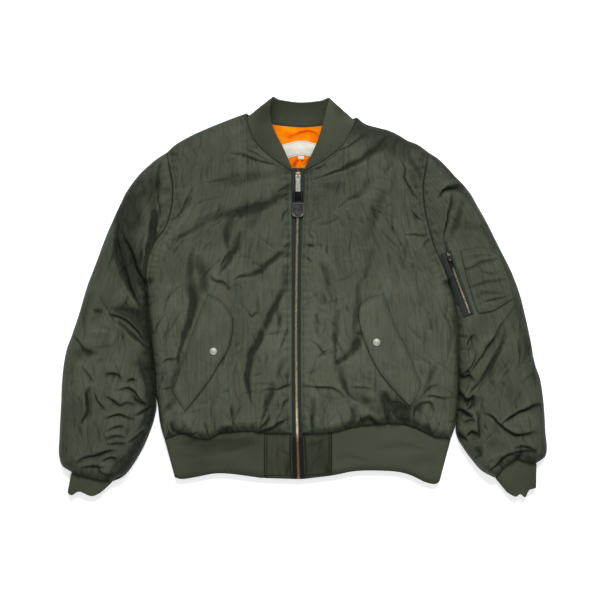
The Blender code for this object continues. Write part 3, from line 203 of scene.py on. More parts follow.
# The utility pocket on the left sleeve. Columns: x, y
SLEEVE_ZIP = [(286, 88), (300, 47), (309, 23), (322, -12), (331, -38)]
SLEEVE_TAPE_HALF, SLEEVE_TAPE_EXTRA, SLEEVE_TAPE_THICKNESS = 8.0, 6, 1.2  # wider on its inner side
SLEEVE_CHAIN_HEIGHT = 2.2
POCKET = {
    "top": [(312, 90), (348, 95), (386, 92)],
    "outer": [(386, 92), (402, 52), (414, 12), (418, -4)],
    "foot": [(348, -34), (374, -30), (396, -18), (418, -4)],
    "inner": [(312, 90), (322, 48), (334, 4), (342, -22), (348, -34)],
}
POCKET_LIFT, POCKET_THICKNESS = 1.3, 2.2
POCKET_SPINE, POCKET_HALF_WIDTH = [(320, 80), (352, 10), (370, -30)], 46.0

# Lining and labels that show in the neck. Columns: x, y
LINING = {"half_width": 84.0, "foot": 196.0, "lift": 0.5, "swell": 7.0}
LABEL = {
    "top": [(-42, 303), (-4, 311), (30, 304)],
    "foot": [(-30, 276), (-4, 282), (20, 278)],
}
LABEL_THICKNESS = 0.9
SIZE_TAG = (-4, 277, 12, 9)  # x, y, width, height

# ---- Folds, each with shade painted along it. A trough is soft, a hollow is a trough that the light hardly reaches, painted dark,
# and a crease drops steeply on the left of its path and comes up slowly from there. A shade is broad painted
# shade that hardly sinks.
# Columns: kind, width, depth, path of x and y
BODY_FOLDS = [
    # right front
    ("hollow", 6.5, 4.4, [
        (-20, 224), (-44, 200), (-66, 184), (-92, 176), (-118, 168), (-144, 162), (-180, 152),
    ]),
    ("shade", 9, 4.5, [(-190, 222), (-122, 234), (-38, 246)]),
    ("hollow", 4.5, 2.8, [(-160, 164), (-188, 150), (-210, 136), (-230, 126), (-248, 114), (-262, 108)]),
    ("crease", 2.5, 1.5, [(-24, 226), (-38, 218), (-54, 204)]),
    ("crease", 2.5, 1.6, [(-28, 206), (-44, 194)]),
    ("crease", 2.5, 1.6, [(-28, 178), (-38, 162), (-42, 146)]),
    ("crease", 2.5, 2, [(-46, 256), (-70, 264), (-90, 270), (-116, 278), (-146, 284)]),
    ("crease", 2.5, 1.4, [(-54, 262), (-74, 272), (-94, 282), (-116, 292)]),
    ("trough", 6, 1.4, [(-140, 284), (-144, 258), (-140, 232)]),
    ("crease", 2.5, 1, [(-150, 232), (-176, 228), (-198, 226)]),
    ("crease", 3, 1.6, [(-220, 218), (-228, 198), (-238, 180), (-244, 164), (-252, 152), (-266, 146)]),
    ("hollow", 4, 2, [(-222, 198), (-232, 180), (-240, 164)]),
    ("hollow", 6.5, 4.2, [(-138, 156), (-150, 132), (-152, 108), (-148, 84)]),
    ("hollow", 6.5, 3.4, [(-124, 132), (-132, 102), (-144, 76), (-156, 56), (-168, 38)]),
    ("crease", 3, 2.2, [(-144, 92), (-158, 68), (-164, 50)]),
    ("hollow", 8, 1.6, [(-84, 176), (-104, 148), (-118, 124)]),
    ("hollow", 4.5, 4, [(-26, 90), (-48, 80), (-68, 64), (-80, 52), (-96, 44)]),
    ("hollow", 3.5, 3, [(-80, 52), (-104, 42), (-128, 36), (-142, 30)]),
    ("crease", 2.5, 1.6, [(-24, 106), (-40, 96)]),
    ("crease", 2.5, 1.4, [(-26, 86), (-42, 72)]),
    ("hollow", 5.5, 3, [(-216, 96), (-224, 58), (-226, 28), (-222, -20)]),
    ("hollow", 7, 4, [(-208, 80), (-202, 52), (-196, 28), (-200, 0)]),
    ("crease", 3, 2.2, [(-146, 12), (-158, 26), (-176, 32), (-186, 46)]),
    ("trough", 6, 1.6, [(-136, 32), (-132, 12), (-124, -12), (-112, -36)]),
    ("crease", 2.5, 2, [(-92, -30), (-102, -40), (-110, -28)]),
    ("hollow", 4, 1.8, [(-34, 64), (-36, 44), (-38, 20)]),
    ("hollow", 5.5, 3.8, [(-24, 44), (-42, 8), (-56, -20), (-68, -46), (-80, -72), (-90, -98), (-102, -124)]),
    ("hollow", 6, 4.8, [(-80, -68), (-98, -104), (-108, -136), (-110, -172), (-104, -216)]),
    ("hollow", 7, 5, [(-210, 36), (-218, -20), (-230, -60), (-240, -92), (-250, -132)]),
    ("hollow", 5, 2.6, [(-242, -116), (-248, -140), (-256, -160), (-262, -184)]),
    ("shade", 16, 4, [(-278, -176), (-234, -192), (-250, -216)]),
    ("hollow", 5, 2.6, [(-250, -196), (-260, -212), (-274, -228), (-282, -240)]),
    ("crease", 3, 1.8, [(-246, -122), (-254, -124), (-270, -128), (-282, -136)]),
    ("crease", 2.5, 1.4, [(-256, -182), (-270, -184), (-284, -186)]),
    ("hollow", 6, 3.4, [(-56, -168), (-64, -196), (-72, -220), (-80, -240), (-88, -260)]),
    ("crease", 3, 3, [(-66, -234), (-74, -248), (-90, -266)]),
    ("crease", 3, 2.2, [(-24, -176), (-38, -180), (-56, -188)]),
    ("hollow", 3.5, 2, [(-30, -122), (-42, -138), (-48, -156), (-44, -180)]),
    ("crease", 2.5, 1.8, [(-30, -60), (-40, -88), (-48, -112)]),
    ("crease", 3, 2.4, [(-28, -202), (-38, -214), (-46, -230)]),
    ("crease", 3.5, 3.4, [(-32, -246), (-54, -256), (-78, -268), (-98, -274)]),
    ("hollow", 3.5, 2.2, [(-54, -12), (-46, -48), (-54, -84)]),
    ("hollow", 3.5, 4, [(-264, -248), (-258, -266), (-248, -274)]),
    ("hollow", 3.5, 4.5, [(-250, -272), (-236, -278), (-222, -276), (-208, -270)]),
    ("hollow", 3, 2.4, [(-198, -250), (-192, -268), (-190, -284)]),
    ("hollow", 4, 4.5, [(-176, -284), (-164, -276), (-148, -266), (-134, -276)]),
    ("crease", 2.5, 2.4, [(-144, -214), (-142, -238), (-142, -264)]),
    ("hollow", 3.5, 4, [(-118, -272), (-102, -278), (-86, -274)]),
    ("crease", 2.5, 1.2, [(-274, 252), (-266, 228), (-270, 192)]),
    ("crease", 2.5, 1, [(-258, 260), (-252, 236), (-256, 208)]),
    ("crease", 2.5, 1, [(-240, 252), (-242, 228), (-236, 208)]),
    ("trough", 8, 1.4, [(-180, 108), (-188, 64), (-180, 28)]),
    ("trough", 8, 1.6, [(-132, -72), (-140, -116), (-152, -156)]),
    ("trough", 7, 1.4, [(-160, -176), (-176, -208), (-188, -236)]),
    # left front
    ("hollow", 5.5, 4.8, [(176, 320), (142, 290), (118, 272), (96, 260), (72, 250), (44, 240), (16, 228)]),
    ("hollow", 4, 2, [(186, 328), (168, 312), (154, 298)]),
    ("crease", 3, 2.4, [(46, 264), (30, 256), (16, 250)]),
    ("shade", 20, 4.5, [(94, 336), (166, 308), (222, 264)]),
    ("crease", 2.5, 1.6, [(130, 324), (94, 300), (74, 290), (54, 272)]),
    ("hollow", 6, 2.4, [(140, 236), (124, 216), (108, 200), (88, 188), (68, 174)]),
    ("hollow", 6.5, 2.4, [(164, 212), (148, 180), (138, 156), (132, 132), (124, 104)]),
    ("hollow", 5, 2.2, [(142, 96), (132, 68), (124, 48), (118, 24)]),
    ("hollow", 8, 1.6, [(28, 224), (56, 216), (88, 220)]),
    ("trough", 8, 1.4, [(32, 208), (28, 178), (34, 152)]),
    ("crease", 3, 2.2, [(228, 190), (214, 212), (202, 236), (202, 256), (192, 276)]),
    ("hollow", 4, 2, [(208, 288), (212, 272), (224, 252), (236, 228), (246, 202)]),
    ("hollow", 4, 1.8, [(212, 252), (220, 228), (230, 206)]),
    ("crease", 3, 2, [(240, 150), (226, 160), (216, 174)]),
    ("crease", 2.5, 1.6, [(250, 120), (234, 120), (218, 124), (198, 122)]),
    ("crease", 2.5, 1.6, [(256, 114), (242, 104), (234, 88)]),
    ("hollow", 4, 1.6, [(202, 108), (204, 88), (196, 62)]),
    ("hollow", 4, 2.4, [(32, 68), (42, 50), (48, 36), (54, 16)]),
    ("crease", 2.5, 1.8, [(22, 98), (4, 102)]),
    ("crease", 2.5, 1.8, [(18, 68), (4, 80)]),
    ("crease", 2.5, 1.4, [(20, 110), (8, 134)]),
    ("hollow", 4.5, 3.2, [(114, 36), (110, 4), (108, -20), (104, -44), (100, -86)]),
    ("hollow", 6, 4.6, [(116, -64), (104, -100), (90, -118), (62, -136)]),
    ("hollow", 4.5, 2.8, [(70, -24), (66, -62), (64, -92), (64, -128)]),
    ("hollow", 6, 2.6, [(64, -120), (70, -144), (82, -176), (96, -200), (116, -216)]),
    ("trough", 7, 1.8, [(44, 36), (52, 8), (64, -16)]),
    ("crease", 2.5, 2.2, [(88, -202), (60, -184), (38, -182), (18, -182), (0, -178)]),
    ("crease", 2.5, 1.6, [(138, -186), (114, -182), (96, -182)]),
    ("hollow", 7, 2, [(96, -194), (120, -204), (148, -210)]),
    ("hollow", 6, 6.5, [(162, -188), (166, -224), (170, -260)]),
    ("hollow", 4, 5, [(170, -206), (180, -228), (196, -250)]),
    ("hollow", 7, 5, [(176, -208), (196, -228), (212, -260)]),
    ("shade", 17, 6, [(138, -216), (178, -222), (242, -212)]),
    ("shade", 8, 4, [(110, -216), (126, -212), (142, -228)]),
    ("shade", 8, 5, [(226, -216), (236, -236)]),
    ("crease", 3, 3, [(214, -226), (204, -220), (190, -210), (176, -212)]),
    ("hollow", 4, 2.6, [(264, -136), (256, -160), (248, -176), (234, -196)]),
    ("crease", 2.5, 2.2, [(270, -174), (250, -184), (230, -202)]),
    ("crease", 2.5, 1.8, [(300, -200), (274, -202), (254, -198), (228, -204)]),
    ("crease", 3, 2.6, [(262, -236), (254, -214), (234, -214), (220, -228), (216, -252)]),
    ("hollow", 5, 3.4, [(238, -252), (250, -270), (262, -286)]),
    ("hollow", 5, 2.6, [(222, -236), (224, -260), (236, -280)]),
    ("hollow", 4.5, 2.8, [(18, -198), (20, -220), (18, -242), (14, -268)]),
    ("hollow", 5, 2.6, [(106, -212), (100, -236), (92, -256), (78, -274)]),
    ("hollow", 5, 5, [(104, -256), (128, -244), (144, -254), (168, -262)]),
    ("trough", 6, 2, [(290, -48), (296, -82), (292, -112), (282, -140)]),
    ("crease", 3, 2.2, [(306, -124), (314, -140), (314, -164)]),
    ("trough", 8, 1.6, [(196, -32), (208, -80), (202, -128)]),
    ("trough", 7, 1.4, [(172, 88), (184, 36), (176, -12)]),
    ("crease", 2.5, 1.4, [(46, -120), (30, -98), (14, -86)]),
    ("crease", 2.5, 1.4, [(54, -106), (38, -112), (30, -126)]),
    ("hollow", 4, 1.8, [(28, -32), (24, -56), (32, -84)]),
    ("trough", 8, 1.6, [(76, 116), (68, 76), (80, 36)]),
    ("trough", 9, 1.4, [(40, 148), (48, 108), (40, 72)]),
]
SLEEVE_FOLDS = [
    # right sleeve
    ("trough", 12, 3.5, [(-370, -22), (-346, -32), (-324, -44), (-306, -60)]),
    ("crease", 5, 2.6, [(-396, -28), (-406, -28), (-416, -26)]),
    ("crease", 3.5, 1.8, [(-412, -172), (-428, -156), (-440, -138)]),
    ("crease", 5.5, 3.8, [(-420, -176), (-430, -192), (-428, -212), (-430, -232), (-442, -256)]),
    ("crease", 3.5, 2.4, [(-390, -228), (-406, -212), (-412, -188)]),
    ("crease", 3.5, 2.6, [(-358, -166), (-368, -156), (-380, -156), (-394, -160)]),
    ("crease", 4, 3.6, [(-310, -216), (-324, -204), (-334, -190), (-344, -184), (-358, -184), (-370, -190)]),
    ("crease", 4, 3.2, [(-334, -214), (-352, -210), (-364, -214), (-378, -206), (-396, -200)]),
    ("crease", 4, 3.6, [(-334, -248), (-346, -242), (-362, -236), (-380, -238), (-396, -244)]),
    ("crease", 3.5, 3, [(-354, -260), (-376, -260), (-392, -268)]),
    ("crease", 3.5, 2.8, [(-352, -280), (-376, -278), (-394, -284)]),
    ("crease", 3.5, 2.8, [(-350, -290), (-372, -292), (-390, -294)]),
    ("crease", 4.5, 5, [(-296, -218), (-316, -226), (-334, -238)]),
    ("crease", 4.5, 4.5, [(-312, -144), (-302, -156), (-296, -176), (-296, -200)]),
    ("crease", 3.5, 3, [(-328, -166), (-342, -166), (-352, -174)]),
    ("crease", 3.5, 3, [(-312, -216), (-328, -208), (-338, -196)]),
    ("crease", 4.5, 4.2, [(-368, -304), (-390, -310), (-410, -316), (-430, -320), (-452, -332)]),
    ("crease", 4, 3.6, [(-394, -340), (-422, -338), (-442, -342)]),
    ("crease", 3.5, 3, [(-368, -322), (-386, -324), (-400, -328)]),
    ("crease", 3.5, 3, [(-382, -356), (-398, -352), (-406, -344)]),
    ("crease", 4, 3.6, [(-312, -268), (-330, -280), (-348, -290)]),
    ("trough", 9, 3.6, [(-330, -128), (-314, -152), (-314, -184)]),
    ("trough", 8, 2.6, [(-458, -112), (-438, -120), (-414, -112)]),
    ("trough", 12, 1.8, [(-438, -200), (-450, -248), (-446, -300)]),
    ("trough", 10, 1.6, [(-426, -44), (-410, -56), (-382, -68)]),
    ("trough", 10, 1.6, [(-394, -72), (-398, -108), (-382, -140)]),
    ("hollow", 10, 3.5, [(-300, -160), (-304, -210), (-316, -262)]),
    ("shade", 17, 7.5, [(-302, 268), (-326, 216), (-340, 164), (-340, 112), (-328, 56), (-316, 12)]),
    ("shade", 9, 4, [(-292, 268), (-296, 212), (-298, 164), (-308, 116)]),
    ("crease", 4, 6.5, [
        (-358, 200), (-368, 170), (-374, 142), (-374, 108), (-368, 80), (-358, 50), (-346, 20), (-332, -8),
        (-318, -28),
    ]),
    ("crease", 3.5, 5, [(-310, 16), (-324, 44), (-334, 68), (-344, 92), (-352, 112), (-362, 132)]),
    ("hollow", 3, 5.5, [(-288, 128), (-300, 110), (-308, 84), (-312, 60), (-316, 36)]),
    ("hollow", 3, 2.4, [(-318, 124), (-320, 92), (-322, 64), (-318, 40)]),
    ("crease", 3, 2.4, [(-286, 272), (-288, 222), (-286, 182), (-282, 148)]),
    ("crease", 2.5, 1.6, [(-292, 244), (-292, 212), (-294, 180)]),
    ("shade", 9, 6, [(-370, -20), (-346, -30), (-324, -46), (-306, -68)]),
    ("crease", 3.5, 4.8, [
        (-312, -94), (-318, -84), (-328, -70), (-342, -56), (-358, -44), (-374, -38), (-388, -38),
    ]),
    ("hollow", 3, 5, [(-370, -48), (-356, -62), (-338, -78), (-318, -96), (-300, -110)]),
    ("shade", 8, 5, [(-312, -108), (-318, -136), (-308, -176), (-304, -212)]),
    ("hollow", 3, 6, [(-310, -142), (-298, -156), (-292, -176), (-290, -198), (-294, -220)]),
    ("shade", 14, 9, [(-314, -272), (-330, -306), (-350, -330), (-382, -348)]),
    ("hollow", 5, 3, [(-440, -98), (-420, -112), (-404, -116)]),
    ("crease", 3, 2, [(-414, -112), (-430, -106), (-446, -92), (-462, -70)]),
    ("hollow", 5.5, 6.5, [(-372, 120), (-368, 84), (-358, 48), (-344, 12), (-326, -24)]),
    ("shade", 11, 6, [(-356, 72), (-344, 32), (-322, -20)]),
    ("shade", 16, 6, [(-358, 116), (-350, 68), (-334, 12)]),
    ("hollow", 2.5, 5, [(-350, 108), (-338, 76), (-322, 44), (-308, 14)]),
    ("hollow", 5, 6, [(-292, 160), (-300, 124), (-308, 92), (-310, 60)]),
    ("shade", 10, 4, [(-370, 164), (-358, 120), (-342, 76)]),
    ("hollow", 7, 5.5, [(-294, 172), (-296, 136), (-304, 100)]),
    ("hollow", 6, 4.6, [(-384, -26), (-356, -32), (-330, -48), (-306, -92)]),
    ("hollow", 5, 6.5, [(-296, -196), (-290, -216), (-294, -240)]),
    # left sleeve
    ("trough", 10, 2.4, [(298, 112), (324, 126), (354, 136)]),
    ("crease", 5, 5.5, [(478, -216), (458, -216), (438, -224), (422, -234), (402, -248), (394, -260)]),
    ("crease", 4.5, 4.8, [
        (466, -270), (434, -274), (416, -272), (402, -264), (388, -252), (374, -238), (358, -234),
    ]),
    ("crease", 4, 4, [(466, -306), (442, -300), (416, -300)]),
    ("crease", 4, 4, [(464, -308), (434, -308), (410, -314), (394, -326), (376, -344)]),
    ("crease", 3.5, 3, [(400, -318), (388, -328), (368, -350)]),
    ("crease", 4, 4.5, [(422, -316), (426, -334)]),
    ("crease", 3.5, 2.6, [(340, -74), (330, -84), (324, -100)]),
    ("crease", 3.5, 2.4, [(338, -106), (340, -124), (330, -144), (316, -158)]),
    ("crease", 4.5, 4.5, [(342, -170), (330, -158), (316, -160), (306, -150), (304, -134)]),
    ("crease", 5, 5, [(340, -198), (326, -204), (312, -196), (308, -176)]),
    ("crease", 4.5, 5, [(336, -198), (334, -214), (322, -226)]),
    ("crease", 5, 6, [(336, -240), (320, -230), (304, -226)]),
    ("crease", 5, 5, [(318, -282), (308, -272), (298, -260)]),
    ("crease", 4, 3.6, [(346, -252), (334, -244), (316, -250)]),
    ("crease", 4, 4, [(344, -230), (350, -258), (348, -286)]),
    ("crease", 4, 4, [(352, -278), (336, -268), (320, -276)]),
    ("trough", 6, 5, [(342, -300), (348, -316), (334, -326)]),
    ("trough", 8, 3, [(362, -288), (378, -300), (394, -312)]),
    ("trough", 10, 1.8, [(386, -172), (406, -196), (434, -192)]),
    ("trough", 10, 1.6, [(334, -68), (354, -52), (382, -44)]),
    ("crease", 4.5, 6.5, [(324, 212), (308, 218), (292, 216), (278, 208), (268, 194)]),
    ("crease", 3.5, 4.6, [(300, 212), (294, 186), (288, 162), (282, 136), (276, 108)]),
    ("hollow", 5, 3.4, [(316, 188), (310, 160), (300, 132), (288, 106)]),
    ("crease", 3.5, 4.4, [
        (422, -14), (404, -42), (388, -68), (372, -92), (358, -114), (344, -134), (330, -156),
    ]),
    ("hollow", 3.5, 5, [
        (402, -76), (390, -104), (378, -128), (364, -150), (348, -172), (336, -188), (328, -200),
    ]),
    ("hollow", 6, 2.4, [(384, -128), (368, -156), (348, -184)]),
    ("crease", 3, 3, [(338, -196), (330, -208), (320, -220)]),
    ("hollow", 3, 4.5, [(304, -228), (320, -234), (338, -240)]),
    ("hollow", 3.5, 5.5, [(298, -260), (310, -274), (324, -288)]),
    ("shade", 10, 2.5, [(318, -224), (328, -256), (342, -296), (358, -328)]),
    ("hollow", 6, 2.2, [(448, -76), (444, -112), (426, -144)]),
    ("crease", 3, 1.8, [(426, -84), (428, -116), (422, -150)]),
    ("crease", 2.5, 2.4, [(336, -162), (326, -150), (312, -154), (308, -130)]),
    ("crease", 3, 2.4, [(334, -204), (322, -202), (312, -192)]),
    ("crease", 2.5, 1.8, [(326, -68), (334, -92), (326, -112)]),
    ("shade", 8, 9, [(298, -284), (318, -316), (342, -344), (370, -366), (394, -378)]),
    ("hollow", 3, 4.5, [(280, 116), (288, 88), (300, 64)]),
]
HEM_FOLDS = [
    ("hollow", 11, 5.6, [(-254, -290), (-206, -296), (-146, -298), (-82, -290)]),
    ("trough", 6, 2.2, [(-158, -308), (-130, -300), (-100, -294)]),
    ("trough", 9, 1.8, [(-210, -348), (-176, -340), (-134, -348)]),
    ("trough", 7, 2, [(146, -312), (194, -302), (250, -310)]),
    ("trough", 8, 1.6, [(54, -334), (94, -324), (142, -334)]),
    ("trough", 7, 1.8, [(202, -344), (242, -332), (274, -340)]),
    ("trough", 6, 1.6, [(-254, -312), (-234, -324), (-198, -320)]),
]
LINING_FOLDS = [
    ("crease", 3, 3.4, [(32, 314), (26, 324), (12, 330), (-4, 330), (-20, 326), (-36, 318)]),
    ("hollow", 3, 3.4, [(-22, 254), (-16, 266), (-8, 276)]),
    ("hollow", 2.5, 3, [(-6, 266), (6, 274)]),
    ("crease", 2.5, 2.6, [(18, 284), (10, 272), (0, 260)]),
    ("trough", 6, 2.2, [(-4, 324), (-6, 312), (-12, 302)]),
    ("trough", 5, 2.2, [(-50, 334), (-36, 326), (-20, 330)]),
    ("trough", 6, 2, [(28, 332), (18, 320), (20, 304)]),
]
COLLAR_FOLDS = [
    ("shade", 15, 9, [(-84, 392), (-74, 366), (-62, 344)]),
    ("shade", 15, 6, [(64, 390), (86, 374), (104, 358)]),
]
POCKET_FOLDS = [
    ("crease", 2.5, 2.6, [(388, 74), (358, 68), (334, 58), (312, 48)]),
    ("crease", 2.5, 1.8, [(404, 34), (376, 30), (354, 26), (328, 16)]),
    ("hollow", 3.5, 1.8, [(336, -6), (366, 6), (406, 2)]),
    ("crease", 2.5, 1.8, [(410, 0), (374, -8), (344, -20)]),
    ("hollow", 3, 1.4, [(320, 72), (348, 78), (380, 82)]),
    ("crease", 2.5, 1.4, [(392, 48), (370, 44), (350, 50)]),
]

# Where the cloth turns away round an outline, and the shade painted there.
# Columns: part, line, reach, painted shade on the right side and on the left
SHADES = [
    ("body", "shoulder", 22.0, 0.50, 1.0), ("body", "side", 4.0, 0.80, 0.15),
    ("sleeve", "outseam", 18.0, 0.30, 0.75), ("sleeve", "inseam", 13.0, 0.90, 0.10),
    ("sleeve", "armhole", 4.0, 0.30, 0.30),
]

# Sewn seams of the fronts and sleeves. Columns: part, line, distance from the line to each row of
# stitches, how deep the stitches draw in, the length of the puckers between them, and their depth
Seam = namedtuple("Seam", "part line rows draw pucker_length pucker_depth")
SEAMS = [
    Seam("body", "armhole", (7.5,), 0.9, 13.0, 0.9),
    Seam("body", "neck", (5.0,), 0.8, 15.0, 0.9),
    Seam("body", "hem", (3.0, 7.5), 0.8, 17.0, 1.2),
    Seam("body", "shoulder", (), 0.0, 18.0, 0.5),
    Seam("sleeve", "armhole", (), 0.0, 15.0, 0.7),
    Seam("sleeve", "sleeve_end", (), 0.0, 13.0, 2.0),
    Seam("sleeve", "inseam", (), 0.0, 16.0, 0.9),
]
# Gathers. Columns: part, the line they start from, the size of each, how far they reach, depth, the shade
# painted in them
Gather = namedtuple("Gather", "part line spacing reach depth dark")
GATHERS = [
    Gather("body", "hem", 26.0, 24.0, 2.8, 0.16),
    Gather("sleeve", "sleeve_end", 22.0, 24.0, 2.6, 0.45),
    Gather("body", "armhole", 34.0, 18.0, 1.0, 0.30),
    Gather("sleeve", "armhole", 38.0, 20.0, 0.9, 0.25),
    Gather("body", "side", 46.0, 14.0, 1.4, 0.20),
    Gather("sleeve", "inseam", 44.0, 16.0, 1.4, 0.20),
]
# What the tables' numbers are multiplied by: a crease's depth, any fold's width and a crease's painted shade
FOLD_STRENGTH, FOLD_WIDTH, FOLD_PAINTED_SHADE = 1.25, 1.2, 0.85
# The other kinds of fold. Columns: how deep it sinks, and how much shade is painted on it
DARKNESS = {"trough": (1.0, 0.30), "hollow": (0.60, 0.90), "shade": (0.10, 0.52)}
FOLD_LIMITS = (-9, 5)  # how far folds may sink and rise on a panel
CREASE_AREA, CREASE_DEPTH = 340.0, 1.7  # one small crease in so many square millimetres, and their depth
SPARE = (0.022, 0.010)  # how much wider and longer the shell is cut than the space it lies in
HOLD, ROUNDS = 0.012, 120  # how firmly the wadding holds a point, and how many rounds the shell settles for
ZIP_ROW, ZIP_PUCKER = {"right": 8.0, "left": 4.5}, 17.0  # stitches beside the zip, and the puckers along them
PUCKER_REACH = 13.0
SEAM_ROUNDNESS = 0.7  # below 1, a panel rises steeply from a sewn seam
FLAP_SHADOWS, FLAP_SHADOW_REACH = {"free": 0.9, "top": 0.4, "hinge": 0.4}, 2.4  # on the front, round its flap
ARMPIT_SINK, ARMPIT_SINK_REACH = 8.0, 36  # the lining lies lower there, clear of the shell's edge

TOOTH_PITCH, SMALL_TOOTH_PITCH = 2.7, 2.3
# Threads of a zip's tape: the bead's, by their distance from the chain's side, then shares of the way on from
# there to the front's edge, then those tucked under the front, by their distance past that edge
BEAD_THREADS = np.array([-2.6, -0.5, -0.1, 0.3, 0.6, 1.0, 1.4, 1.75, 2.1])
TAPE_THREADS = np.array([0.3, 0.55, 0.8, 1.0])
TUCKED_THREADS, TUCK_DEPTH = (0.25, 1.7), 3.3

# ---- How finely the cloth is divided
FINE_PITCH, PLAIN_PITCH = 2.2, 6.0
EDGE_STEPS = (0.0, 0.5, 1.3, 2.4, 3.8, 5.4)  # how far the outermost threads lie from an edge
LINING_STEP = 4  # every so many threads of the shell's grid
# About how far a panel is across and along
SPANS = {"front": (285, 600), "sleeve": (190, 620), "back": (560, 620)}
STITCH_LENGTH, STITCH_GAP, STITCH_RADIUS = 2.6, 1.0, 0.42
RIB_PITCH, RIB_COLUMNS, RIB_DEPTH = 4.0, 4, 0.55
NECK_KNOTS = (0.38, 0.62)  # shares of the collar's length where it goes from a front to the back and on

# ---- Random patterns
NOISE_CELLS = 64  # the noise repeats after so many lumps
# Where each pattern starts
SEEDS = {
    "body": 11, "sleeve": 31, "under": 51, "back": 61, "cuff": 71, "hem": 72,
    "hem_end": {"right": 79, "left": 78}, "flap": 81, "pocket": 83, "lining": 91, "label": 92, "tape": 7,
    "pucker": 5, "pucker_strength": 6, "fold_path": 301, "fold_edge": 303, "fold_strength": 305,
    "outline": 307,
}

# ---- Curves in the plane


def smooth(rows, steps=10):
    """A Catmull-Rom curve through the rows, as many points."""
    p = np.array(rows, float)
    p = np.vstack([2 * p[0] - p[1], p, 2 * p[-1] - p[-2]])
    t = np.linspace(0, 1, steps, endpoint=False)[:, None]
    spans = [
        0.5 * (
            2 * b + (c - a) * t + (2 * a - 5 * b + 4 * c - d) * t**2 + (3 * b - a - 3 * c + d) * t**3
        )
        for a, b, c, d in zip(p[:-3], p[1:-2], p[2:-1], p[3:])
    ]
    return np.vstack([*spans, p[-2:-1]])


def steps_of(line):
    """The length of each step from one point of a line to the next."""
    return np.linalg.norm(np.diff(line, axis=0), axis=1)


def run_of(steps):
    """How far along a line each of its points is."""
    return np.concatenate([[0], np.cumsum(steps)])


def square_to(line):
    """The way to the left of a line in the plane, at each of its points."""
    ahead = np.gradient(line, axis=0)
    ahead /= np.linalg.norm(ahead, axis=1)[:, None]
    return np.column_stack([-ahead[:, 1], ahead[:, 0]])


def at_shares(line, shares):
    """The points at these shares of a line's length."""
    run = run_of(steps_of(line))
    where = np.asarray(shares, float) * run[-1]
    return np.stack([np.interp(where, run, line[:, k]) for k in range(line.shape[1])], axis=1)


def along(lines, knots, shares):
    """The points at these shares of several lines in a row. Line i runs from knots[i] to knots[i + 1]."""
    shares = np.asarray(shares, float)
    found = np.zeros((len(shares), lines[0].shape[1]))
    for line, low, high in zip(lines, knots[:-1], knots[1:]):
        inside = (shares >= low - 1e-9) & (shares <= high + 1e-9)
        local = np.clip((shares[inside] - low) / (high - low), 0, 1)
        found[inside] = at_shares(line, local)
    return found


def blend(bottom, top, left, right, u, v):
    """A Coons patch at the shares u across and v up."""
    corners = (
        (1 - u) * (1 - v) * bottom[0] + u * (1 - v) * bottom[-1] + (1 - u) * v * top[0] + u * v * top[-1]
    )
    return (1 - v) * bottom[None] + v * top[None] + (1 - u) * left[:, None] + u * right[:, None] - corners


def nearest(points, line):
    """For each point, its distance from a line, the share of the line's length there, and the way off it."""
    start, step = line[:-1], np.diff(line, axis=0)
    length = steps_of(line)
    squared = (points**2).sum(1)[:, None] - 2 * points @ line.T + (line**2).sum(1)[None]
    corner = squared.argmin(axis=1)
    best = None
    for i in (np.maximum(corner - 1, 0), np.minimum(corner, len(start) - 1)):
        off_start = points - start[i]
        t = np.clip((off_start * step[i]).sum(1) / length[i] ** 2, 0, 1)
        off = off_start - t[:, None] * step[i]
        gap = np.linalg.norm(off, axis=1)
        if best is None:
            best = [i, t, off, gap]
        else:
            closer = gap < best[3]
            for old, new in zip(best, (i, t, off, gap)):
                old[closer] = new[closer]
    i, t, off, gap = best
    run = run_of(length)
    share = (run[i] + t * length[i]) / run[-1]
    square = np.stack([-step[i, 1], step[i, 0]], axis=1) / length[i, None]
    side = np.where((off * square).sum(1) >= 0, 1.0, -1.0)
    away = np.where(gap[:, None] > 0.5, off / np.maximum(gap[:, None], 1e-9), square)
    return gap, share, side, away


LINES = {side: {name: smooth(rows) for name, rows in CURVES[side].items()} for side in CURVES}
BACK_NECK_LINE = smooth(BACK_NECK)


def inside_on_left(side, name):
    """An outline curve, turned so that the cloth is on its left."""
    line = LINES[side][name]
    turn = (side == "left") != (name == "inseam")
    return line[::-1] if turn else line


# ---- The height of the top surface over the floor


def quarter_round(q):
    q = np.clip(q, 0, 1)
    return np.sqrt(np.maximum(1 - (1 - q) ** 2, 0))


def zip_height(y):
    rows = np.array(ZIP_PROFILE, float)
    return np.interp(y, rows[:, 0], rows[:, 1])


def zip_x(y, where="chain"):
    """The X of the chain's middle, or of the right or the left front's edge beside the zip."""
    rows = smooth(ZIP_LINE)
    return np.interp(y, rows[:, 0], rows[:, ["", "chain", "right", "left"].index(where)])


EDGE_REACH = {
    "shoulder": OUTLINE_REACH, "outseam": OUTLINE_REACH, "side": ARMPIT_REACH, "inseam": ARMPIT_REACH,
}


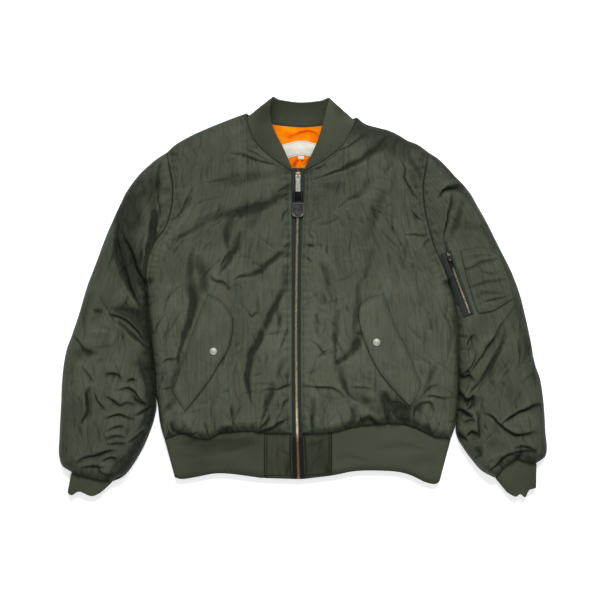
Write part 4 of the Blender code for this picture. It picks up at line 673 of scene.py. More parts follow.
def surface(points, side, part):
    """(height, upward direction) of the top surface without its folds. part is body or sleeve."""
    crown = np.full(len(points), BODY_CROWN)
    from_armhole = nearest(points, LINES[side]["armhole"])[0]
    if part == "sleeve":
        rise = np.clip(from_armhole / SLEEVE_RISE, 0, 1)
        crown += (SLEEVE_CROWN - BODY_CROWN) * rise * rise * (3 - 2 * rise)
    height, upward = crown.copy(), np.tile([0.0, 0.0, 1.0], (len(points), 1))
    for name, reach in EDGE_REACH.items():
        gap, _, _, away = nearest(points, inside_on_left(side, name))
        lift = quarter_round(gap / reach)
        here = SIDE_SEAM_HEIGHT + (crown - SIDE_SEAM_HEIGHT) * lift
        lower = here < height
        level = np.clip(1 - gap / reach, 0, 1) / reach
        tilt = np.column_stack([-away * level[:, None], lift / (crown - SIDE_SEAM_HEIGHT)])
        tilt /= np.linalg.norm(tilt, axis=1)[:, None]
        height[lower], upward[lower] = here[lower], tilt[lower]
    seams = [("armhole", crown - ARMHOLE_DROP, ARMHOLE_REACH)]
    if part == "body":
        seams += [("hem", np.full(len(points), HEM_HEIGHT), HEM_REACH)]
        seams += [("neck", crown - NECK_DROP, NECK_REACH)]
    else:
        seams += [("sleeve_end", np.full(len(points), CUFF_HEIGHT), CUFF_REACH)]
    for name, end, reach in seams:
        gap = nearest(points, LINES[side][name])[0]
        share = np.clip(gap / reach, 0, 1)
        height = np.minimum(height, end + (crown - end) * np.sin(share * math.pi / 2) ** SEAM_ROUNDNESS)
    if part == "body":
        gap = np.abs(points[:, 0] - zip_x(points[:, 1], side))
        end = zip_height(points[:, 1])
        rise = np.sin(np.clip(gap / ZIP_REACH, 0, 1) * math.pi / 2)
        height = np.minimum(height, end + (crown - end) * rise)
    return height, upward


# ---- Folds and crumples


def ripple(points, size, seed):
    """Smooth noise between about -1 and 1 over the plane, with lumps of this size."""
    angles = np.random.RandomState(seed).uniform(0, math.tau, (NOISE_CELLS, NOISE_CELLS))
    p = points / np.array(size, float)
    cell = np.floor(p).astype(int)
    f = p - cell
    ease = f**3 * (f * (f * 6 - 15) + 10)
    total = np.zeros(len(points))
    for i in (0, 1):
        for j in (0, 1):
            turn = angles[(cell[:, 0] + i) % NOISE_CELLS, (cell[:, 1] + j) % NOISE_CELLS]
            slope = np.cos(turn) * (f[:, 0] - i) + np.sin(turn) * (f[:, 1] - j)
            share = np.abs(1 - i - ease[:, 0]) * np.abs(1 - j - ease[:, 1])
            total += slope * share
    return 1.6 * total


def ridged(points, size, seed):
    """Noise with sharp crests, from 0 to 1."""
    return 1 - np.minimum(np.abs(2.2 * ripple(points, size, seed)), 1)


def wandered(points, size, reach, seed):
    """The points moved about a little, so that lines laid over them waver."""
    moves = [reach * ripple(points, size, seed + k) for k in (0, 1)]
    return points + np.column_stack(moves)


def folded(points, folds):
    """How far the folds push the cloth out, and how much shade is painted along them.

    Beside a crease the cloth bulges on the right, drops steeply, and comes up slowly on the left.
    """
    rise, dark = np.zeros(len(points)), np.zeros(len(points))
    place = wandered(wandered(points, 34, 3.0, SEEDS["fold_path"]), 11, 0.8, SEEDS["fold_edge"])
    strength = 1 + 0.3 * ripple(points, 26, SEEDS["fold_strength"])
    for i, (kind, width, depth, path) in enumerate(folds):
        line = smooth(path, 5)
        reach = 6 * width
        near = np.all((points > line.min(0) - reach) & (points < line.max(0) + reach), axis=1)
        if not near.any():
            continue
        gap, share, side, _ = nearest(place[near], line)
        taper = np.sin(np.clip(share, 0, 1) * math.pi) ** 0.6 * strength[near]
        wide = FOLD_WIDTH * width * (0.75 + 0.5 * np.sin((share + 0.13 * (i % 5)) * math.pi))
        if kind in DARKNESS:
            q = gap / wide
            sink, shade = DARKNESS[kind]
            rise[near] += sink * depth * taper * (0.25 * np.exp(-(((q - 2) / 0.9) ** 2)) - np.exp(-(q**2)))
            dark[near] += shade * taper * np.exp(-(q**3)) * min(depth / 4, 1.5)
        else:
            under, over = np.maximum(gap * side, 0), np.maximum(-gap * side, 0)
            ramp = np.where(side > 0, np.exp(-((under / (1.9 * wide)) ** 1.4)), np.exp(-over / 1.1))
            bulge = 0.45 * (over / wide) * np.exp(1 - over / wide)
            rise[near] += FOLD_STRENGTH * depth * taper * (bulge - ramp)
            far, close = (np.exp(-((under / (spread * wide)) ** 2)) for spread in (2.2, 0.8))
            shade = np.where(side > 0, 0.35 * far + 0.65 * close, np.exp(-((over / 1.2) ** 2)))
            dark[near] += FOLD_PAINTED_SHADE * taper * shade * min(depth / 3.0, 1)
    return rise, np.clip(dark, 0, 1)


def shaded_rim(points, side, part):
    """The shade painted on the cloth near the outlines, where it turns away."""
    dark = np.zeros(len(points))
    uneven = 1 + 0.5 * ripple(points, (22, 34), SEEDS["outline"])
    for name, line, reach, right, left in SHADES:
        if name == part:
            gap, most = nearest(points, LINES[side][line])[0], right if side == "right" else left
            dark = np.maximum(dark, most * np.exp(-((gap / (reach * uneven)) ** 2)))
    return dark


def settle(points, spare, hold, rounds, seed):
    """Lets a grid of cloth that is cut this share too wide and too long for its place buckle in it.

    Each thread pulls its ends to its own length, stiffness keeps threads from bending sharply, and the
    wadding holds each point near its place. The edges are sewn down.
    """
    x = points.copy()
    rows, columns = x.shape[:2]
    flat = lengths(points[..., :2]).reshape(-1, 2)
    x[..., 2] += 0.25 * ripple(flat, (9, 30), seed).reshape(rows, columns)
    pairs = []
    wide, long, slanting = *spare, sum(spare) / 2
    for down, across, stiffness, more in (
        (0, 1, 0.5, wide), (1, 0, 0.5, long), (1, 1, 0.12, slanting), (1, -1, 0.12, slanting),
        (0, 2, 0.10, wide), (2, 0, 0.16, long), (0, 4, 0.02, wide * 0.7), (4, 0, 0.05, long * 0.7),
    ):
        first = (slice(0, rows - down), slice(max(-across, 0), columns - max(across, 0)))
        second = (slice(down, rows), slice(max(across, 0), columns - max(-across, 0)))
        rest = np.linalg.norm(points[second] - points[first], axis=2) * (1 + more)
        pairs.append((first, second, rest, stiffness))
    for _ in range(rounds):
        move = np.zeros_like(x)
        for first, second, rest, stiffness in pairs:
            pull = x[second] - x[first]
            length = np.sqrt((pull**2).sum(2))
            pull *= (0.5 * stiffness * (length - rest) / np.maximum(length, 1e-6))[..., None]
            move[first] += pull
            move[second] -= pull
        x[1:-1, 1:-1] += 0.7 * move[1:-1, 1:-1] + hold * (points - x)[1:-1, 1:-1]
    return x


def crumple(cloth, seed):
    """The small crisp creases of washed nylon, mostly along the grain: how far they rise, and the shade
    painted in them.

    cloth is each point's place in the cut. Each crease is steep on one side and level on the other.
    """
    rise = 1.5 * ripple(cloth, (62, 110), seed + 3) + 0.6 * ripple(cloth, (30, 44), seed + 4)
    rise += 0.30 * (ridged(cloth, (8, 40), seed + 2) - 0.5) + 0.6 * (ridged(cloth, (42, 95), seed + 6) - 0.5)
    dark = np.zeros(len(cloth))
    place = wandered(cloth, 26, 3.0, seed + 5)
    some = np.random.RandomState(seed)
    low, high = cloth.min(0), cloth.max(0)
    for _ in range(int(np.prod(high - low) / CREASE_AREA)):
        middle = some.uniform(low, high)
        length, width = some.uniform(9, 40), some.uniform(2.0, 6.5)
        turn = some.normal(0, 0.30) + (some.uniform(0.5, 1.5) if some.rand() < 0.3 else 0)
        depth = CREASE_DEPTH * some.uniform(0.3, 1) ** 2 * some.choice((1, 1, -0.7))
        bend, way = some.uniform(-5, 5), some.choice((-1, 1))
        near = np.abs(place - middle).max(1) < length + 3 * width
        off = place[near] - middle
        ahead = (off[:, 1] * math.cos(turn) + off[:, 0] * math.sin(turn)) / length
        across = way * (off[:, 0] * math.cos(turn) - off[:, 1] * math.sin(turn) + bend * (ahead**2 - 0.3))
        fade = np.clip(1 - ahead**2, 0, 1) ** 1.5
        shape = np.where(across > 0, np.exp(-((np.maximum(across, 0) / width) ** 1.3)), np.exp(across / 1.2))
        rise[near] -= depth * fade * shape
        # painted shade in the crease
        dark[near] += 0.22 * np.maximum(depth, 0) * fade * shape
    return rise, dark


def calm(points, side, part):
    """0 at the seams, where the cloth stays level, and 1 away from them."""
    share = np.ones(len(points))
    for name in ("shoulder", "outseam", "side" if part == "body" else "inseam"):
        share = np.minimum(share, 0.15 + 0.85 * nearest(points, LINES[side][name])[0] / 12)
    for name in ("armhole", "neck", "hem", "sleeve_end"):
        share = np.minimum(share, nearest(points, LINES[side][name])[0] / 9)
    if part == "body":
        share = np.minimum(share, np.abs(points[:, 0] - zip_x(points[:, 1], side)) / 9)
        kept_level = [(FLAP_SPINE[side], FLAP_HALF_WIDTH, 0.30)]
    else:
        kept_level = [(POCKET_SPINE, POCKET_HALF_WIDTH, 0.15)] if side == "left" else []
    share = np.clip(share, 0, 1)
    for spine, half_width, least in kept_level:
        gap = nearest(points, np.array(spine, float))[0] - half_width
        share = np.minimum(share, np.clip(least + gap / 12, least, 1))
    return share


def zip_edge(side):
    """The edge of a front beside the zip, from the hem up."""
    ys = np.linspace(HEM_AT_ZIP, ZIP_TOP, 80)
    return np.column_stack([zip_x(ys, side), ys])


def sewn(points, side, part):
    """How far seams and their stitches draw the cloth in, with the puckers between, and the shade painted in
    them.
    """
    change, dark = np.zeros(len(points)), np.zeros(len(points))
    rows = [(LINES[side][s.line], s) for s in SEAMS if s.part == part]
    if part == "body":
        rows.append((zip_edge(side), Seam("body", "zip", (ZIP_ROW[side],), 0.8, ZIP_PUCKER, 1.2)))
    for line, seam in rows:
        gap, share, _, _ = nearest(points, line)
        run = share * steps_of(line).sum()
        for row in seam.rows:
            change -= seam.draw * np.exp(-(((gap - row) / 1.5) ** 2))
            dark += 0.5 * np.exp(-(((gap - row) / 1.0) ** 2))
        wander = ripple(np.column_stack([run, 0 * run]), 3 * seam.pucker_length, SEEDS["pucker"])
        strength = ripple(np.column_stack([run, 0 * run]), 2.3 * seam.pucker_length, SEEDS["pucker_strength"])
        wave = np.sin(math.tau * run / seam.pucker_length + 4 * wander) * (0.6 + 0.9 * strength)
        first = max(seam.rows, default=2.0)
        span = np.exp(-(((gap - first) / PUCKER_REACH) ** 2)) * np.clip(gap / 3, 0, 1)
        change += seam.pucker_depth * 0.5 * (wave - 0.6) * span
        dark += 0.25 * seam.pucker_depth * np.clip(-wave - 0.3, 0, 1) * span
        change -= 1.1 * np.exp(-((gap / 1.1) ** 2))
        dark += 0.5 * np.exp(-((gap / 1.5) ** 2))
    return change, dark


def gathered(points, side, part, seed):
    """The gathers that run up from the knit bands and in from the armholes, and the shade painted in their
    valleys.
    """
    rise, dark = np.zeros(len(points)), np.zeros(len(points))
    for i, row in enumerate(GATHERS):
        if row.part != part:
            continue
        line = LINES[side][row.line]
        gap, share, _, _ = nearest(points, line)
        run = share * steps_of(line).sum()
        slant = ripple(np.column_stack([run, 0 * run]), 2.2 * row.spacing, seed + i)
        place = np.column_stack([run + 0.55 * gap * slant, 0.35 * gap])
        place = wandered(place, 12, 2.5, seed + 7 * i)
        lump = ripple(place, row.spacing, seed + 3 * i)
        valley = np.exp(-np.abs(lump) / 0.11)
        fade = np.clip(gap / 4, 0, 1) * np.exp(-((np.maximum(gap - row.reach / 3, 0) / row.reach) ** 2))
        fade *= np.clip(0.75 + 0.9 * ripple(np.column_stack([run, gap]), (60, 45), seed + 5 * i), 0, 1.3)
        rise += row.depth * fade * (0.5 * np.abs(lump) - valley)
        dark += row.dark * fade * np.clip(1.6 * valley - 0.5, 0, 1)
    return rise, np.clip(dark, 0, 1)


def level_out(field, times):
    """A grid of numbers, smoothed by its neighbours' means."""
    for _ in range(times):
        padded = np.pad(field, 1, mode="edge")
        field = (
            4 * field + padded[:-2, 1:-1] + padded[2:, 1:-1] + padded[1:-1, :-2] + padded[1:-1, 2:]
        ) / 8
    return field


def lowest_near(field, times):
    """A grid of numbers, each taking the least of its neighbours."""
    for _ in range(times):
        padded = np.pad(field, 1, mode="edge")
        beside_it = [padded[:-2, 1:-1], padded[2:, 1:-1], padded[1:-1, :-2], padded[1:-1, 2:]]
        field = np.min([*beside_it, field], axis=0)
    return field


# ---- Solids from grids


def spaced(length, pitch):
    """Shares of an edge of this length, closer together near its two ends."""
    near = np.array(EDGE_STEPS)
    count = max(round((length - 2 * near[-1]) / pitch), 1)
    middle = np.linspace(near[-1], length - near[-1], count + 1)[1:-1]
    return np.concatenate([near, middle, length - near[::-1]]) / length


def trim(outer, inner, gap=SEAM_GAP / 2):
    """Draws each edge of a wall back along the cloth, to leave room for the seam."""
    for edge, beside in (
        (np.s_[0], np.s_[1]), (np.s_[-1], np.s_[-2]), (np.s_[:, 0], np.s_[:, 1]), (np.s_[:, -1], np.s_[:, -2])
    ):
        back = outer[beside] - outer[edge]
        back = back / np.linalg.norm(back, axis=-1, keepdims=True) * gap
        outer[edge] += back
        inner[edge] += back
    return outer, inner


def lengths(grid):
    """Each grid point's place in the cut of the cloth: across and along, in millimetres."""
    across = np.linalg.norm(np.diff(grid, axis=1), axis=2).mean(axis=0)
    along_it = np.linalg.norm(np.diff(grid, axis=0), axis=2).mean(axis=1)
    u, v = np.concatenate([[0], np.cumsum(across)]), np.concatenate([[0], np.cumsum(along_it)])
    return np.dstack(np.meshgrid(u, v))


def add_object(name, bm, finish_name, body="garment"):
    """A piece of the scene, made from a bmesh in metres."""
    mesh = bpy.data.meshes.new(name)
    bm.to_mesh(mesh)
    bm.free()
    mesh.materials.append(material_of(finish_name))
    made = bpy.data.objects.new(name, mesh)
    bpy.context.scene.collection.objects.link(made)
    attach(made, body)
    return made


def shaded(made, angle=50):
    made.data.shade_smooth()
    made.data.set_sharp_from_angle(angle=math.radians(angle))
    return made


def grid_mesh(rows, columns, *numbers):
    """A bmesh grid, its points' places in reading order, and a layer of points' numbers for each name."""
    bm = bmesh.new()
    place = bm.verts.layers.int.new("place")
    layers = [bm.verts.layers.float.new(name) for name in numbers]
    bmesh.ops.create_grid(bm, x_segments=columns - 1, y_segments=rows - 1, size=1)
    for vert in bm.verts:
        column = round((vert.co.x + 1) / 2 * (columns - 1))
        row = round((vert.co.y + 1) / 2 * (rows - 1))
        vert[place] = row * columns + column
    return bm, place, *layers


def wall(name, outer, inner, finish_name, cloth=None, marks=None, body="garment"):
    """A closed sheet between two grids of points in millimetres, extruded from the outer to the inner.

    cloth gives each point's place in the cut, for the weave, and marks are numbers for each point.
    """
    rows, columns = outer.shape[:2]
    cloth = lengths(outer) if cloth is None else cloth
    bm, place = grid_mesh(rows, columns)
    made = bmesh.ops.extrude_face_region(bm, geom=bm.faces[:], use_keep_orig=True)
    for thing in made["geom"]:
        if isinstance(thing, bmesh.types.BMVert):
            thing[place] += rows * columns
    at = (np.concatenate([outer.reshape(-1, 3), inner.reshape(-1, 3)]) * MM).tolist()
    for vert in bm.verts:
        vert.co = at[vert[place]]
    bmesh.ops.recalc_face_normals(bm, faces=bm.faces[:])
    sheet = add_object(name, bm, finish_name, body)
    mesh = sheet.data
    index = np.zeros(len(mesh.vertices), int)
    mesh.attributes["place"].data.foreach_get("value", index)
    mesh.attributes.remove(mesh.attributes["place"])
    corner = np.zeros(len(mesh.loops), int)
    mesh.loops.foreach_get("vertex_index", corner)
    flat = np.tile(cloth.reshape(-1, 2), (2, 1))[index] * MM
    mesh.uv_layers.new(name="cloth").data.foreach_set("uv", flat[corner].ravel())
    for key, values in (marks or {}).items():
        layer = mesh.attributes.new(key, "FLOAT", "POINT")
        layer.data.foreach_set("value", np.tile(values.ravel(), 2)[index])
    return shaded(sheet)


# ---- Materials


def node(tree, kind, inputs=None, **settings):
    made = tree.nodes.new("ShaderNode" + kind)
    for key, value in settings.items():
        setattr(made, key, value)
    for key, value in (inputs or {}).items():
        if isinstance(value, bpy.types.NodeSocket):
            tree.links.new(value, made.inputs[key])
        else:
            made.inputs[key].default_value = value
    return made


def blank(name):
    """A material with only its shader, and the tree and shader."""
    made = bpy.data.materials.new(name)
    made.use_nodes = True
    return made, made.node_tree, made.node_tree.nodes["Principled BSDF"]


def set_shader(tree, shader, **values):
    names = {
        "colour": "Base Color", "roughness": "Roughness", "metallic": "Metallic", "sheen": "Sheen Weight",
        "sheen_roughness": "Sheen Roughness", "specular": "Specular IOR Level", "normal": "Normal",
        "coat": "Coat Weight", "coat_roughness": "Coat Roughness", "anisotropic": "Anisotropic",
    }
    for key, value in values.items():
        socket = shader.inputs[names[key]]
        if isinstance(value, bpy.types.NodeSocket):
            tree.links.new(value, socket)
        elif key == "colour":
            socket.default_value = (*value, 1)
        else:
            socket.default_value = value


def spots(tree, source, scale=(1, 1, 1), turn=0.0):
    """Where the pattern is read: the piece's own place, or its place in the cut of the cloth."""
    if source == "cloth":
        place = node(tree, "UVMap", uv_map="cloth").outputs["UV"]
    else:
        place = node(tree, "TexCoord").outputs["Object"]
    turned = {"Vector": place, "Scale": scale, "Rotation": (0, 0, turn)}
    return node(tree, "Mapping", turned).outputs["Vector"]


def noise(tree, place, scale=1.0, detail=3.0, roughness=0.5, distortion=0.0):
    values = {
        "Vector": place, "Scale": scale, "Detail": detail, "Roughness": roughness, "Distortion": distortion,
    }
    return node(tree, "TexNoise", values).outputs["Fac"]


def wave(tree, place, scale, direction="X", distortion=0.0, detail=0.0):
    values = {"Vector": place, "Scale": scale, "Distortion": distortion, "Detail": detail}
    return node(tree, "TexWave", values, wave_type="BANDS", bands_direction=direction).outputs["Fac"]


def between_limits(tree, value, low, high, to_low=0.0, to_high=1.0):
    values = {"Value": value, 1: low, 2: high, 3: to_low, 4: to_high}
    return node(tree, "MapRange", values).outputs["Result"]


def tones(tree, value, rows):
    """Colours along a value. Columns: value, colour."""
    ramp = node(tree, "ValToRGB", {"Fac": value})
    points = ramp.color_ramp.elements
    while len(points) < len(rows):
        points.new(1)
    for point, (where, colour) in zip(points, rows):
        point.position, point.color = where, (*colour, 1)
    return ramp.outputs["Color"]


def mixed(tree, factor, first, second, blend="MIX"):
    made = node(tree, "Mix", data_type="RGBA", blend_type=blend)
    for socket, value in ((made.inputs[0], factor), (made.inputs[6], first), (made.inputs[7], second)):
        if isinstance(value, bpy.types.NodeSocket):
            tree.links.new(value, socket)
        else:
            socket.default_value = (*value, 1) if isinstance(value, tuple) else value
    return made.outputs[2]


def marked(tree, colour, key, most, tint, low=0.0):
    """A colour that goes over to a tint where one of the cloth's marks is high."""
    mark = node(tree, "Attribute", attribute_name=key).outputs["Fac"]
    return mixed(tree, between_limits(tree, mark, low, 1.0, 0.0, most), colour, tint)


def glow_from(tree, scale, shift):
    """1 at a point of the jacket's plane, and less and less away from it."""
    values = {"Vector": spots(tree, "object", scale), "Location": shift}
    place = node(tree, "Mapping", values).outputs["Vector"]
    return node(tree, "TexGradient", {"Vector": place}, gradient_type="SPHERICAL").outputs["Fac"]


def combined(tree, operation, first, second):
    return node(tree, "Math", {0: first, 1: second}, operation=operation).outputs["Value"]


def bumped(tree, height, distance, strength=1.0, under=None):
    values = {"Height": height, "Distance": distance, "Strength": strength}
    if under is not None:
        values["Normal"] = under
    return node(tree, "Bump", values).outputs["Normal"]


def nylon(name, dye=(1.0, 1.0, 1.0)):
    """Washed nylon twill: a fine weave, crinkles along the grain, and tones that the wash has left, with
    painted shade in the creases, a painted pool of light low on the front and painted shade towards the
    shoulders and sleeves.
    """
    made, tree, shader = blank(name)
    place = spots(tree, "object")
    cloth = spots(tree, "cloth")
    patches = noise(tree, place, 11.0, 5.0, 0.62, 0.5)
    colour = tones(tree, patches, [(0.32, NYLON_DARK), (0.50, NYLON), (0.68, NYLON_LIGHT)])
    rust = between_limits(tree, noise(tree, place, 17.0, 4.0, 0.65), 0.50, 0.68, 0.0, 0.75)
    colour = mixed(tree, rust, colour, NYLON_WARM)
    streak = noise(tree, spots(tree, "cloth", (210, 15, 1)), 1.0, 5.0, 0.65, 0.3)
    colour = mixed(tree, between_limits(tree, streak, 0.50, 0.72, 0.0, 0.70), colour, NYLON_DEEP)
    colour = mixed(tree, between_limits(tree, streak, 0.50, 0.30, 0.0, 0.50), colour, NYLON_LIGHT)
    # a painted pool of light, paler low on the middle of the front
    painted_light_pool = glow_from(tree, (9.0, 5.5, 0), (0.05, 0.38, 0))
    colour = mixed(tree, between_limits(tree, painted_light_pool, 0.0, 0.8, 0.0, 0.75), colour, NYLON_LIGHT)
    # paler where the cloth stands out: wear on the ridges, and a painted highlight
    colour = marked(tree, colour, "worn", 0.40, NYLON_LIGHT)
    # painted shade in the creases
    colour = marked(tree, colour, "crease", 0.85, NYLON_PAINTED_SHADE)
    twill = wave(tree, spots(tree, "cloth", turn=0.9), 1150.0)
    colour = mixed(tree, between_limits(tree, twill, 0, 1, 0.0, 0.10), colour, NYLON_DARK)
    colour = mixed(tree, 1.0, colour, dye, "MULTIPLY")
    # painted shade: darker towards the shoulders and sleeves, away from a point low on the middle of the
    # front
    middle = glow_from(tree, (1.6, 1.9, 0), (0, 0.23, 0))
    colour = mixed(tree, between_limits(tree, middle, 0.0, 0.9, 0.34, 0.0), colour, NYLON_FALLOFF_SHADE)
    normal = bumped(tree, noise(tree, spots(tree, "cloth", (260, 30, 1)), 1.0, 5.0, 0.6), 0.0025, 0.55)
    normal = bumped(tree, noise(tree, cloth, 240.0, 3.0, 0.5), 0.0008, 0.36, normal)
    normal = bumped(tree, twill, 0.00012, 0.5, normal)
    rough = between_limits(tree, noise(tree, place, 60.0, 3.0), 0.3, 0.7, 0.50, 0.66)
    set_shader(tree, shader, colour=colour, roughness=rough, normal=normal, specular=0.10)
    return made


def knit(name):
    """Rib knit: rows of small loops along each rib, with shade painted where the band marks its valleys."""
    made, tree, shader = blank(name)
    place = spots(tree, "object")
    colour = tones(tree, noise(tree, place, 14.0, 4.0), [(0.3, KNIT_DARK), (0.7, KNIT_LIGHT)])
    x = node(tree, "SeparateXYZ", {"Vector": place}).outputs["X"]
    to_right, to_left = between_limits(tree, x, -0.10, 0.16), between_limits(tree, x, 0.28, 0.34, 0.55, 0.0)
    colour = mixed(tree, combined(tree, "MULTIPLY", to_right, to_left), colour, KNIT_PALE)
    # painted shade in the rib valleys, and in the folds and along the rolled edge where a band marks them
    colour = marked(tree, colour, "valley", 0.85, KNIT_SHADE)
    loops = wave(tree, spots(tree, "cloth"), 330.0, "Y", 1.5, 1.0)
    fuzz = noise(tree, place, 900.0, 4.0, 0.7)
    colour = mixed(tree, between_limits(tree, fuzz, 0.45, 0.75, 0, 0.3), colour, KNIT_LIGHT)
    normal = bumped(tree, loops, 0.0004, 0.5)
    normal = bumped(tree, fuzz, 0.0004, 0.4, normal)
    set_shader(tree, shader, colour=colour, roughness=0.95, normal=normal, sheen=0.04, specular=0.12)
    return made


def lining_cloth(name):
    made, tree, shader = blank(name)
    place = spots(tree, "object")
    patches = noise(tree, place, 20.0, 4.0, 0.6)
    colour = tones(tree, patches, [(0.3, LINING_DEEP), (0.5, LINING_MID), (0.7, LINING_PALE)])
    # painted shade in the lining's creases
    colour = marked(tree, colour, "crease", 0.80, LINING_PAINTED_SHADE)
    # painted highlight, paler where the lining stands out
    colour = marked(tree, colour, "worn", 0.50, LINING_PALE)
    weave = noise(tree, spots(tree, "cloth", (700, 260, 1)), 1.0, 3.0)
    normal = bumped(tree, noise(tree, place, 90.0, 4.0, 0.6), 0.0012, 0.35)
    normal = bumped(tree, weave, 0.0003, 0.3, normal)
    set_shader(tree, shader, colour=colour, roughness=0.6, normal=normal, specular=0.03)
    return made


def label_weave(name):
    made, tree, shader = blank(name)
    warp = wave(tree, spots(tree, "cloth"), 700.0, "X")
    weft = wave(tree, spots(tree, "cloth"), 820.0, "Y")
    weave = combined(tree, "MULTIPLY", warp, weft)
    patches = noise(tree, spots(tree, "object"), 60.0, 3.0)
    colour = tones(tree, patches, [(0.3, (0.60, 0.58, 0.50)), (0.7, (0.74, 0.72, 0.64))])
    colour = mixed(tree, between_limits(tree, weave, 0, 1, 0.0, 0.25), colour, (0.45, 0.42, 0.34))
    normal = bumped(tree, weave, 0.0002, 0.6)
    set_shader(tree, shader, colour=colour, roughness=0.75, normal=normal, sheen=0.1)
    return made


def tape_weave(name):
    made, tree, shader = blank(name)
    ribs = wave(tree, spots(tree, "cloth"), 420.0, "Y", 0.6, 1.0)
    cords = wave(tree, spots(tree, "cloth"), 260.0, "X")
    weave = combined(tree, "MULTIPLY", ribs, cords)
    colour = tones(tree, weave, [(0.0, (0.013, 0.019, 0.019)), (1.0, (0.042, 0.056, 0.054))])
    # painted shadow and shade, from the tape's marks
    colour = marked(tree, colour, "crease", 1.0, (0.004, 0.005, 0.008))
    normal = bumped(tree, weave, 0.0004, 0.7)
    set_shader(tree, shader, colour=colour, roughness=0.85, normal=normal, sheen=0.1, specular=0.2)
    return made


def metal(name, colour, worn, roughness):
    """Metal with a patina in patches, darker and browner below the hem seam, and fine scratches."""
    made, tree, shader = blank(name)
    place = spots(tree, "object")
    patina = noise(tree, place, 420.0, 4.0, 0.6)
    scratch = noise(tree, spots(tree, "object", (9000, 500, 500)), 1.0, 2.0)
    shade = mixed(tree, between_limits(tree, patina, 0.4, 0.65), worn, colour)
    y = node(tree, "SeparateXYZ", {"Vector": place}).outputs["Y"]
    # darker and browner below the hem seam
    shade = mixed(tree, between_limits(tree, y, -0.270, -0.285, 0.0, 0.90), shade, BELOW_HEM_TONE)
    rough = between_limits(tree, scratch, 0.3, 0.7, roughness - 0.08, roughness + 0.14)
    normal = bumped(tree, scratch, 0.00006, 0.3)
    set_shader(tree, shader, colour=shade, metallic=1.0, roughness=rough, normal=normal)
    return made


def leather(name):
    made, tree, shader = blank(name)
    place = spots(tree, "object")
    grain = node(tree, "TexVoronoi", {"Vector": place, "Scale": 900.0}).outputs["Distance"]
    tone = noise(tree, place, 260.0, 3.0)
    colour = tones(tree, tone, [(0.3, (0.0005, 0.0005, 0.0005)), (0.7, (0.002, 0.002, 0.0018))])
    rough = between_limits(tree, tone, 0.3, 0.7, 0.45, 0.62)
    normal = bumped(tree, grain, 0.0003, 0.5)
    set_shader(tree, shader, colour=colour, roughness=rough, normal=normal, specular=0.08)
    return made


def rubber(name):
    made, tree, shader = blank(name)
    place = spots(tree, "object")
    fine = noise(tree, place, 1500.0, 3.0)
    patches = noise(tree, place, 130.0, 4.0)
    colour = tones(tree, patches, [(0.3, (0.018, 0.018, 0.016)), (0.7, (0.045, 0.045, 0.041))])
    # painted highlight on the grip's upper rim, where the grip marks it
    colour = marked(tree, colour, "worn", 0.8, (0.17, 0.17, 0.15), 0.5)
    normal = bumped(tree, fine, 0.0001, 0.4)
    set_shader(tree, shader, colour=colour, roughness=0.32, normal=normal, specular=0.4)
    return made


def thread(name):
    made, tree, shader = blank(name)
    twist = wave(tree, spots(tree, "object", turn=0.7), 900.0)
    colour = tones(tree, twist, [(0.0, (0.045, 0.052, 0.035)), (1.0, (0.105, 0.118, 0.084))])
    set_shader(tree, shader, colour=colour, roughness=0.6, normal=bumped(tree, twist, 0.0001, 0.5), sheen=0.1)
    return made


NYLON = (0.0660, 0.0795, 0.0530)
NYLON_DARK = (0.0530, 0.0650, 0.0450)
NYLON_DEEP = (0.0340, 0.0430, 0.0280)
NYLON_LIGHT = (0.0900, 0.1070, 0.0730)
NYLON_WARM = (0.0830, 0.0820, 0.0510)
NYLON_PAINTED_SHADE = (0.0050, 0.0068, 0.0036)
NYLON_FALLOFF_SHADE = (0.02, 0.026, 0.018)
FACING_DYE = (0.62, 0.57, 0.50)  # the ends of the hem band have kept more of their colour
KNIT_PALE = (0.070, 0.082, 0.057)
KNIT_DARK, KNIT_LIGHT, KNIT_SHADE = (0.044, 0.052, 0.033), (0.064, 0.072, 0.047), (0.022, 0.026, 0.015)
LINING_DEEP, LINING_MID, LINING_PALE = (0.66, 0.080, 0.0), (0.80, 0.165, 0.0), (0.92, 0.290, 0.0)
LINING_PAINTED_SHADE = (0.46, 0.012, 0.0)
BRASS, BRASS_WORN = (0.60, 0.51, 0.30), (0.28, 0.24, 0.145)
NICKEL, NICKEL_WORN = (0.66, 0.67, 0.61), (0.42, 0.42, 0.36)
CAP, CAP_WORN = (0.50, 0.53, 0.48), (0.40, 0.42, 0.37)
TARNISH, TARNISH_WORN = (0.13, 0.11, 0.075), (0.012, 0.010, 0.008)
BELOW_HEM_TONE = (0.115, 0.080, 0.030)


# Columns: the material's name, and what makes it
FINISHES = {
    "nylon": ("sage_nylon", nylon),
    "facing": ("facing_nylon", lambda name: nylon(name, FACING_DYE)),
    "knit": ("sage_knit", knit),
    "lining": ("orange_lining", lining_cloth),
    "label": ("cream_label", label_weave),
    "tape": ("slate_tape", tape_weave),
    "brass": ("aged_brass", lambda name: metal(name, BRASS, BRASS_WORN, 0.36)),
    "nickel": ("dull_nickel", lambda name: metal(name, NICKEL, NICKEL_WORN, 0.34)),
    "cap": ("brushed_cap", lambda name: metal(name, CAP, CAP_WORN, 0.62)),
    "tarnish": ("tarnished_brass", lambda name: metal(name, TARNISH, TARNISH_WORN, 0.26)),
    "leather": ("strap_hide", leather),
    "rubber": ("grip_rubber", rubber),
    "thread": ("sage_thread", thread),
}


def material_of(finish_name):
    """The material of a finish, made when it is first asked for."""
    name, maker = FINISHES[finish_name]
    return bpy.data.materials.get(name) or maker(name)


# ---- The cloth panels

